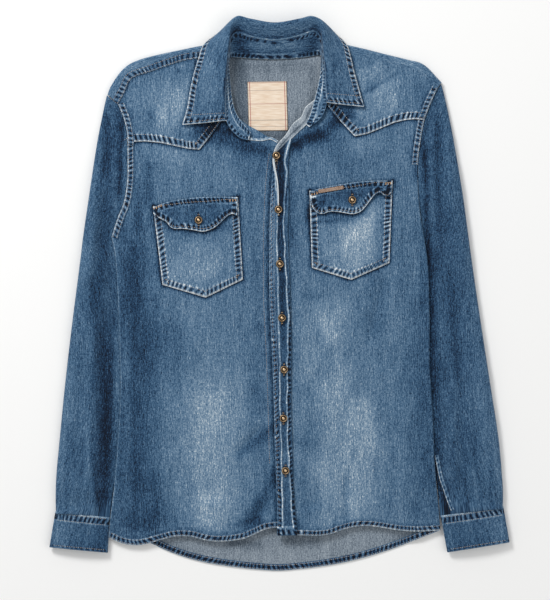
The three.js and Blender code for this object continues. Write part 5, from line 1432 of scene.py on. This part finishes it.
FLAP_WASH = [
    (128, 148, 170, 128, 9, -0.5), (96, 122, 122, 128, 8, 0.3), (-205, 127, -35, 138, 7, -0.6),
    (20, 142, 182, 162, 7, -0.5), (-200, 106, -40, 106, 22, -0.3), (20, 130, 180, 140, 24, -0.3),
    (134, 143, 166, 126, 8, -0.5), (-175, 118, -161, 99, 10, -0.6),
    (-161, 99, -67, 102, 9, -0.35), (-79, 114, -56, 122, 9, -0.5), (131, 138, 160, 148, 10, -0.5),
    (40, 125, 72, 115, 11, -0.5), (-165, 118, -75, 122, 16, -0.45), (50, 135, 150, 145, 14, -0.5),
    (-165, 104, -160, 100, 8, -0.4), (-90, 100, -76, 112, 10, -0.5), (50, 130, 62, 124, 12, -0.5),
]


POCKET_ROWS = 76
POCKET_COLUMNS = 84
POCKET_STITCHES = (1.8, 8.5)


def pocket(name, node, corners, height, phase, front):
    """A patch pocket sewn down along its sides and its pointed bottom."""
    opening = [corners[0], corners[-1]]
    plan = panel(straight(corners[:2], POCKET_ROWS), straight(corners[:2:-1], POCKET_ROWS),
                 straight(corners[1:4], POCKET_COLUMNS), straight(opening, POCKET_COLUMNS))
    points = on_height(plan, laid_on(height, 1))
    sewn = straight(corners, 320)
    rise, ridge, worn = roped_edges(points, [sewn], 11, phase, 1.15)
    points[..., 2] += rise
    piece = cloth(name, points, [DENIM_FACE], node, wash=marks_on(POCKET_WASH_AND_SHADE, points),
                  ridge=ridge, edge=1.3 * worn)
    shade(front, straight(corners, 90), 3.2, -1.5)
    shade(front, straight(opening, 20), 3.4, -1.2)
    for distance in POCKET_STITCHES:
        sew(beside(sewn, distance), laid_on(height, 1), "tan")
    declare(piece)


pocket("pocket_right_cloth", "pocket_right", POCKET_RIGHT, front_height, 0.2, "front_right_cloth")
pocket("pocket_left_cloth", "pocket_left", POCKET_LEFT, left_front_height, 1.8, "front_left_cloth")

FLAP_BASE = 2 * (LAYER + SLACK)
FLAP_LIFT = 2.2
FLAP_COLUMNS = 100
FLAP_ROWS = 24
FLAP_STITCHED_ROWS = (2, 21)


def flap(name, node, top, lower, height, curl, phase, pocket_name):
    """A flap sewn down along its top, with its lower edge lifted and its outer corner curled."""
    upper = spaced(top, FLAP_COLUMNS)
    under = spaced(lower, FLAP_COLUMNS)
    down = np.linspace(1, 0, FLAP_ROWS + 1)
    points = upper[None] * (1 - down[:, None, None]) + under[None] * down[:, None, None]
    column = np.arange(FLAP_COLUMNS + 1)
    corner = curl * falloff_line(column / FLAP_COLUMNS, 0.14)
    waves = 0.9 * np.sin(column / 7.3 + phase)
    lift = FLAP_BASE + FLAP_LIFT * down[:, None] ** 2 + corner[None, :] * down[:, None]
    lift = lift + waves[None, :] * down[:, None] ** 3
    points[..., 2] = at_grid(height, points) + lift
    free_edges = [under] + [straight([top[end], lower[end]], 16) for end in (0, -1)]
    rise, ridge, worn = roped_edges(points, free_edges, 8.5, phase, 1.4)
    from_top, along_top = nearest(points, upper)
    up_top, top_wear_and_shade = roping(along_top, from_top - 0.8, 7.5, phase + 2, 1.3)
    points[..., 2] += rise + up_top
    pale = 1.3 * worn + 0.9 * falloff_line(from_top, 1.2) + 0.5 * falloff_line(from_top - 9, 0.9)
    piece = cloth(name, points, [DENIM_FACE, DENIM_BACK], node,
                  wash=marks_on(FLAP_WASH, points),
                  ridge=np.clip(ridge + top_wear_and_shade, -1.7, 1.4), edge=pale)
    shade(pocket_name, under[::2], 4.2, -1.3)
    for row in FLAP_STITCHED_ROWS:
        line = points[row].copy()
        line[:, 2] += 0.6
        thread_lines.append((line[2:-2], "tan"))
    declare(piece)


flap("flap_right_cloth", "flap_right", POCKET_RIGHT_TOP, FLAP_RIGHT, front_height, 2.5, 0.9,
     "pocket_right_cloth")
flap("flap_left_cloth", "flap_left", POCKET_LEFT_TOP, FLAP_LEFT, left_front_height, 0.8, 2.3,
     "pocket_left_cloth")

# Bar tacks, columns start and end in plan, on the flaps' upper corners
BAR_TACKS = [
    ((-179, 120), (-166, 126)), ((-72, 132), (-60, 133)), ((44, 140), (55, 143)),
    ((149, 156), (159, 157)),
]
for number, (start, end) in enumerate(BAR_TACKS):
    height = front_height if number < 2 else left_front_height
    for shift in np.linspace(-1.3, 1.3, 5):
        line = straight([start, end], 8) + np.array([0, shift, 0])
        sew(line, height, "orange", FLAP_BASE + 1.3)

TAB = [(54.5, 147.5), (55.3, 142.5), (90.8, 148.5), (90, 153.5)]


def plain_material(name, colour, roughness, bump, mix):
    """A plain finish with a fine grain: bump as (grain in mm, strength), mix as a second colour."""
    material, tree = new_material(name)
    place = add_node(tree, "ShaderNodeTexCoord")
    grain_mm, strength = bump
    noise = add_node(tree, "ShaderNodeTexNoise", [
        ("Vector", place, "Object"), ("Scale", 1 / (grain_mm * MM), None), ("Detail", 3.0, None)])
    stops = [(0.3, colour), (0.75, mix)]
    ramp = add_node(tree, "ShaderNodeValToRGB", [("Fac", noise, 0)], stops)
    relief = add_node(tree, "ShaderNodeBump", [
        ("Height", noise, 0), ("Strength", strength, None), ("Distance", 0.2 * MM, None)])
    surface = add_node(tree, "ShaderNodeBsdfPrincipled", [
        ("Base Color", ramp, "Color"), ("Roughness", roughness, None),
        ("Normal", relief, "Normal")])
    add_node(tree, "ShaderNodeOutputMaterial", [("Surface", surface, "BSDF")])
    return material


# Dyed tan cowhide: a low waxy sheen, with pale scuffs over a brown grain
LEATHER = plain_material("tan grain leather", "#6b4f40", 0.6, bump=(1.4, 0.5), mix="#b39a86")
tab = between(straight(TAB[:2], 6), straight(TAB[:1:-1], 6), np.linspace(0, 1, 29))
tab[..., 2] = at_grid(left_front_height, tab) + FLAP_BASE + 0.6 + GAP + SLACK + 0.5
tab_piece = cloth("leather_tab", tab, [LEATHER], "pocket_tab", thickness=0.9, flip=True)
for shift in (0.7, 4.3):
    line = straight([(55.5, 147.3 - shift), (89.5, 153.1 - shift)], 20)
    sew(line, lambda x, y: left_front_height(x, y) + FLAP_BASE + 1.6, "brown", 0.35)

# Neck label
# A plain woven cotton label with a thin border line and a few woven cross lines, sewn inside the
# back yoke.

LABEL = [(-45.5, 301), (-43.5, 231.5), (12, 232), (10, 302)]
LABEL_WIDTH = 55.5
LABEL_HEIGHT = 69.5


# Sockets of a mix node for its two colours and its mixed colour
MIX_FIRST = 6
MIX_SECOND = 7
MIX_RESULT = 2


def label_material():
    """Woven cream cotton, matt and fine ribbed, with lines at places on the label in mm, the one
    round its edge being painted shadow.
    """
    material, tree = new_material("woven cotton label")
    cut = add_node(tree, "ShaderNodeUVMap", uv_map="cut")
    axes = add_node(tree, "ShaderNodeSeparateXYZ", [("Vector", cut, "UV")])
    rib = add_node(tree, "ShaderNodeMapping", [
        ("Vector", cut, "UV"), ("Scale", (60, 700, 1), None)])
    noise = add_node(tree, "ShaderNodeTexNoise", [
        ("Vector", rib, "Vector"), ("Scale", 1.0, None), ("Detail", 3.0, None)])
    stops = [(0.35, "#dcc4ab"), (0.7, "#f0e2d0")]
    colour = add_node(tree, "ShaderNodeValToRGB", [("Fac", noise, 0)], stops), "Color"

    def label_line(colour, axis, place_mm, half_mm, shade, strength):
        away = add_node(tree, "ShaderNodeMath", [(0, axes, axis), (1, place_mm * MM, None)],
                        operation="SUBTRACT")
        size = add_node(tree, "ShaderNodeMath", [(0, away, 0)], operation="ABSOLUTE")
        near = add_node(tree, "ShaderNodeMath", [(0, size, 0), (1, half_mm * MM, None)],
                        operation="LESS_THAN")
        amount = add_node(tree, "ShaderNodeMath", [(0, near, 0), (1, strength, None)],
                          operation="MULTIPLY")
        mixed = add_node(tree, "ShaderNodeMix", [
            ("Factor", amount, 0), (MIX_FIRST, *colour), (MIX_SECOND, linear(shade), None)],
            data_type="RGBA")
        return mixed, MIX_RESULT

    # a dark line round the label's very edge: painted shadow at its outline
    for axis, places in (("X", (0.0, LABEL_WIDTH)), ("Y", (0.0, LABEL_HEIGHT))):
        for place in places:
            colour = label_line(colour, axis, place, 0.9, "#6d5a52", 0.55)
    for place in (3.0, 52.5):
        colour = label_line(colour, "X", place, 0.5, "#9c3f3c", 0.85)
    for place, shade, strength in ((1.6, "#8f5850", 0.6), (12.5, "#8f7a70", 0.5),
                                   (31.5, "#a8665c", 0.7), (54.5, "#6b6460", 0.7),
                                   (63.5, "#7c746e", 0.5)):
        colour = label_line(colour, "Y", place, 0.45, shade, strength)
    relief = add_node(tree, "ShaderNodeBump", [
        ("Height", noise, 0), ("Strength", 0.3, None), ("Distance", 0.2 * MM, None)])
    surface = add_node(tree, "ShaderNodeBsdfPrincipled", [
        ("Base Color", *colour), ("Roughness", 0.75, None), ("Normal", relief, "Normal")])
    add_node(tree, "ShaderNodeOutputMaterial", [("Surface", surface, "BSDF")])
    return material


down_share = np.linspace(0, 1, 41)[:, None]
over_share = np.linspace(0, 1, 33)[None, :]
label = between(straight(LABEL[:2], 40), straight(LABEL[:1:-1], 40), over_share[0])
label_puff = np.sin(math.pi * over_share) * np.sin(math.pi * down_share)
label[..., 2] = LAYER + 0.4 + 0.5 * label_puff + 0.18 * np.sin(down_share * 19)
label_uv = np.stack(np.broadcast_arrays(
    over_share * LABEL_WIDTH, down_share * LABEL_HEIGHT), axis=-1)
label_piece = cloth("neck_label_cloth", label, [label_material()], "neck_label", thickness=0.7,
                    flip=True, uv=label_uv)
declare(label_piece)

# Buttons
# Cast brass shank buttons, aged dark in their hollows: a rolled rim, a sunk ring and a domed
# middle. Tan thread shows at the buttonholes' ends.

BUTTON_RADIUS = 5.7
# Columns share of the radius and height in mm, from the back's middle to the front's middle
BUTTON_PROFILE = [
    (0, 0), (0.8, 0), (0.94, 0.35), (1, 1.0), (0.97, 1.7), (0.88, 2.25), (0.76, 2.35),
    (0.67, 2.05), (0.62, 1.55), (0.45, 1.45), (0.36, 1.6), (0.27, 1.95), (0.12, 2.15), (0, 2.2),
]


def brass_material():
    """Aged cast brass: its rubbed rims shine a warm gold with a painted highlight, the middle of
    the dome is brightened as a painted highlight, and its hollows stay brown.
    """
    material, tree = new_material("aged cast brass")
    place = add_node(tree, "ShaderNodeTexCoord")
    noise = add_node(tree, "ShaderNodeTexNoise", [
        ("Vector", place, "Object"), ("Scale", 1 / (1.6 * MM), None), ("Detail", 3.0, None)])
    polish_and_highlight = add_node(tree, "ShaderNodeAttribute", attribute_name="polish_and_highlight")
    amount = add_node(tree, "ShaderNodeMath", [(0, noise, 0), (1, 0.5, None), (2, polish_and_highlight, "Fac")],
                      operation="MULTIPLY_ADD")
    stops = [(0.3, "#22160f"), (1.0, "#e9c9a0")]
    ramp = add_node(tree, "ShaderNodeValToRGB", [("Fac", amount, 0)], stops)
    surface = add_node(tree, "ShaderNodeBsdfPrincipled", [
        ("Base Color", ramp, "Color"), ("Roughness", 0.38, None), ("Metallic", 0.9, None)])
    add_node(tree, "ShaderNodeOutputMaterial", [("Surface", surface, "BSDF")])
    return material


AGED_BRASS = brass_material()


def button(name, node):
    """A button where the CAD has its node; gives its middle and its back's height in mm."""
    low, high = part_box(node)
    middle = [(a + b) / 2 for a, b in zip(low, high)]
    disc = bmesh.new()
    profile = [disc.verts.new((share * BUTTON_RADIUS * MM, 0, height * MM))
               for share, height in BUTTON_PROFILE]
    for first, second in zip(profile, profile[1:]):
        disc.edges.new((first, second))
    bmesh.ops.spin(disc, geom=disc.verts[:] + disc.edges[:], cent=(0, 0, 0), axis=(0, 0, 1),
                   angle=2 * math.pi, steps=28, use_merge=True)
    bmesh.ops.remove_doubles(disc, verts=disc.verts, dist=1e-6)
    bmesh.ops.recalc_face_normals(disc, faces=disc.faces)
    bmesh.ops.translate(disc, verts=disc.verts, vec=(middle[0], middle[1], low[2]))
    # bright on the dome's middle as a painted highlight, and on the rubbed rim with painted
    # highlight too
    polish_and_highlight = disc.verts.layers.float.new("polish_and_highlight")
    for vertex in disc.verts:
        away = math.hypot(vertex.co.x - middle[0], vertex.co.y - middle[1]) / (BUTTON_RADIUS * MM)
        rim = 0.45 * math.exp(-((away - 0.8) / 0.08) ** 2)
        vertex[polish_and_highlight] = 0.05 + 1.1 * max(1 - away / 0.42, 0) + rim
    mesh = bpy.data.meshes.new(name)
    disc.to_mesh(mesh)
    disc.free()
    mesh.polygons.foreach_set("use_smooth", np.ones(len(mesh.polygons), dtype=bool))
    mesh.materials.append(AGED_BRASS)
    piece = put_in_scene(name, mesh)
    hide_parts(node)
    return middle[0] / MM, middle[1] / MM, low[2] / MM


BUTTONED = {"flap_button_right": "flap_right_cloth", "flap_button_left": "flap_left_cloth"}
button_nodes = [f"button_{number}" for number in range(1, 8)]
button_nodes += ["flap_button_right", "flap_button_left", "collar_button", "cuff_button_right",
                 "cuff_button_left"]
for node in button_nodes:
    x, y, z = button(node + "_brass", node)
    if not node.startswith(("button_", "flap_")):
        continue
    for way in (1, -1):
        for aside in (-0.75, 0.75):
            line = straight([(x + aside, y + way * 5.8), (x + aside, y + way * 9.4)], 3)
            line[:, 2] = z + 0.3
            thread_lines.append((line, "gold"))
    under = BUTTONED.get(node, "placket_cloth")
    # a line of painted shade for the buttonhole's slit under each button
    shade(under, straight([(x, y - 9), (x, y + 9)], 4), 2.0, -1.2)

# Sewing thread
# Every row of stitches is real thread lying on the cloth, each stitch a small bead with its ends
# sunk where the needle went in.

# Spun cotton thread has a dull, hairy shine, and fades with the wash
THREADS = {
    "tan": ("cotton thread, faded tan", "#b3a398"),
    "brown": ("cotton thread, rust brown", "#8a6a58"),
    "orange": ("cotton thread, orange tan", "#c08a50"),
    "gold": ("cotton thread, pale gold", "#c9a36a"),
}
STITCH_LENGTH = 2.3
STITCH_WIDTH = 0.62


def stitch_row(points):
    """One row of stitches as a bmesh: an icosphere for each, drawn out along the row."""
    row = bmesh.new()
    length = length_of(points)
    count = max(int(length / STITCH), 1)
    places = (np.arange(count) + 0.5) * length / count
    middles = along_line(points, places)
    ahead = along_line(points, np.minimum(places + 0.5, length))
    for middle, toward in zip(middles, ahead):
        way = Vector(toward - middle)
        if way.length < 1e-6:
            continue
        turn = way.to_track_quat("X", "Z").to_matrix().to_4x4()
        size = Matrix.Diagonal((
            STITCH_LENGTH / 2 * MM, STITCH_WIDTH / 2 * MM, STITCH_WIDTH / 2 * MM, 1))
        bmesh.ops.create_icosphere(
            row, subdivisions=1, radius=1,
            matrix=Matrix.Translation(Vector(middle) * MM) @ turn @ size)
    return row


for thread, (material_name, colour) in THREADS.items():
    whole = bmesh.new()
    for points, kind in thread_lines:
        if kind != thread:
            continue
        row = stitch_row(points)
        part = bpy.data.meshes.new("row")
        row.to_mesh(part)
        row.free()
        whole.from_mesh(part)
        bpy.data.meshes.remove(part)
    mesh = bpy.data.meshes.new(f"stitches_{thread}")
    whole.to_mesh(mesh)
    whole.free()
    mesh.polygons.foreach_set("use_smooth", np.ones(len(mesh.polygons), dtype=bool))
    mesh.materials.append(plain_material(material_name, colour, 0.8, (0.5, 0.4), "#d8cbb6"))
    put_in_scene(f"stitches_{thread}", mesh)

# Surface, light and camera
# The shirt lies on a plain pale surface under soft studio light and is seen from straight above.

floor_mesh = bmesh.new()
bmesh.ops.create_grid(floor_mesh, x_segments=1, y_segments=1, size=6)
floor_data = bpy.data.meshes.new("pale surface")
floor_mesh.to_mesh(floor_data)
floor_mesh.free()
floor = bpy.data.objects.new("pale_surface", floor_data)
bpy.context.scene.collection.objects.link(floor)
# Uncoated paper gives an even white with a soft shadow and no gloss
paper = bpy.data.materials.new("matt white paper")
paper.use_nodes = True
paper.node_tree.nodes["Principled BSDF"].inputs["Base Color"].default_value = linear("#f7f7f6")
paper.node_tree.nodes["Principled BSDF"].inputs["Roughness"].default_value = 0.9
floor_data.materials.append(paper)

# Lamps, columns name, place, size and power in watts
LAMPS = [
    ("key", (-1.5, 2.0, 2.1), 1.0, 66),
    ("fill", (2.2, -0.6, 2.4), 2.2, 14),
]
for name, place, size, power in LAMPS:
    lamp = bpy.data.lights.new(name, "AREA")
    lamp.size = size
    lamp.energy = power
    lamp_object = bpy.data.objects.new(name, lamp)
    lamp_object.location = place
    lamp_object.rotation_euler = (-Vector(place)).to_track_quat("-Z", "Y").to_euler()
    bpy.context.scene.collection.objects.link(lamp_object)

world = bpy.data.worlds.new("soft studio")
world.use_nodes = True
world.node_tree.nodes["Background"].inputs["Color"].default_value = (1, 1, 1, 1)
world.node_tree.nodes["Background"].inputs["Strength"].default_value = 0.55
bpy.context.scene.world = world

bpy.context.scene.view_settings.view_transform = "Standard"

MM_PER_PIXEL = 1.42
CAMERA_HEIGHT = 4.0
SENSOR = 36
FRAME_HEIGHT = 600 * MM_PER_PIXEL * MM
camera = bpy.data.cameras.new("camera")
camera.sensor_fit = "VERTICAL"
camera.sensor_height = SENSOR
camera.lens = SENSOR * CAMERA_HEIGHT / FRAME_HEIGHT
camera_object = bpy.data.objects.new("camera", camera)
camera_object.location = (-4.5 * MM_PER_PIXEL * MM, -6 * MM_PER_PIXEL * MM, CAMERA_HEIGHT)
bpy.context.scene.collection.objects.link(camera_object)
bpy.context.scene.camera = camera_object
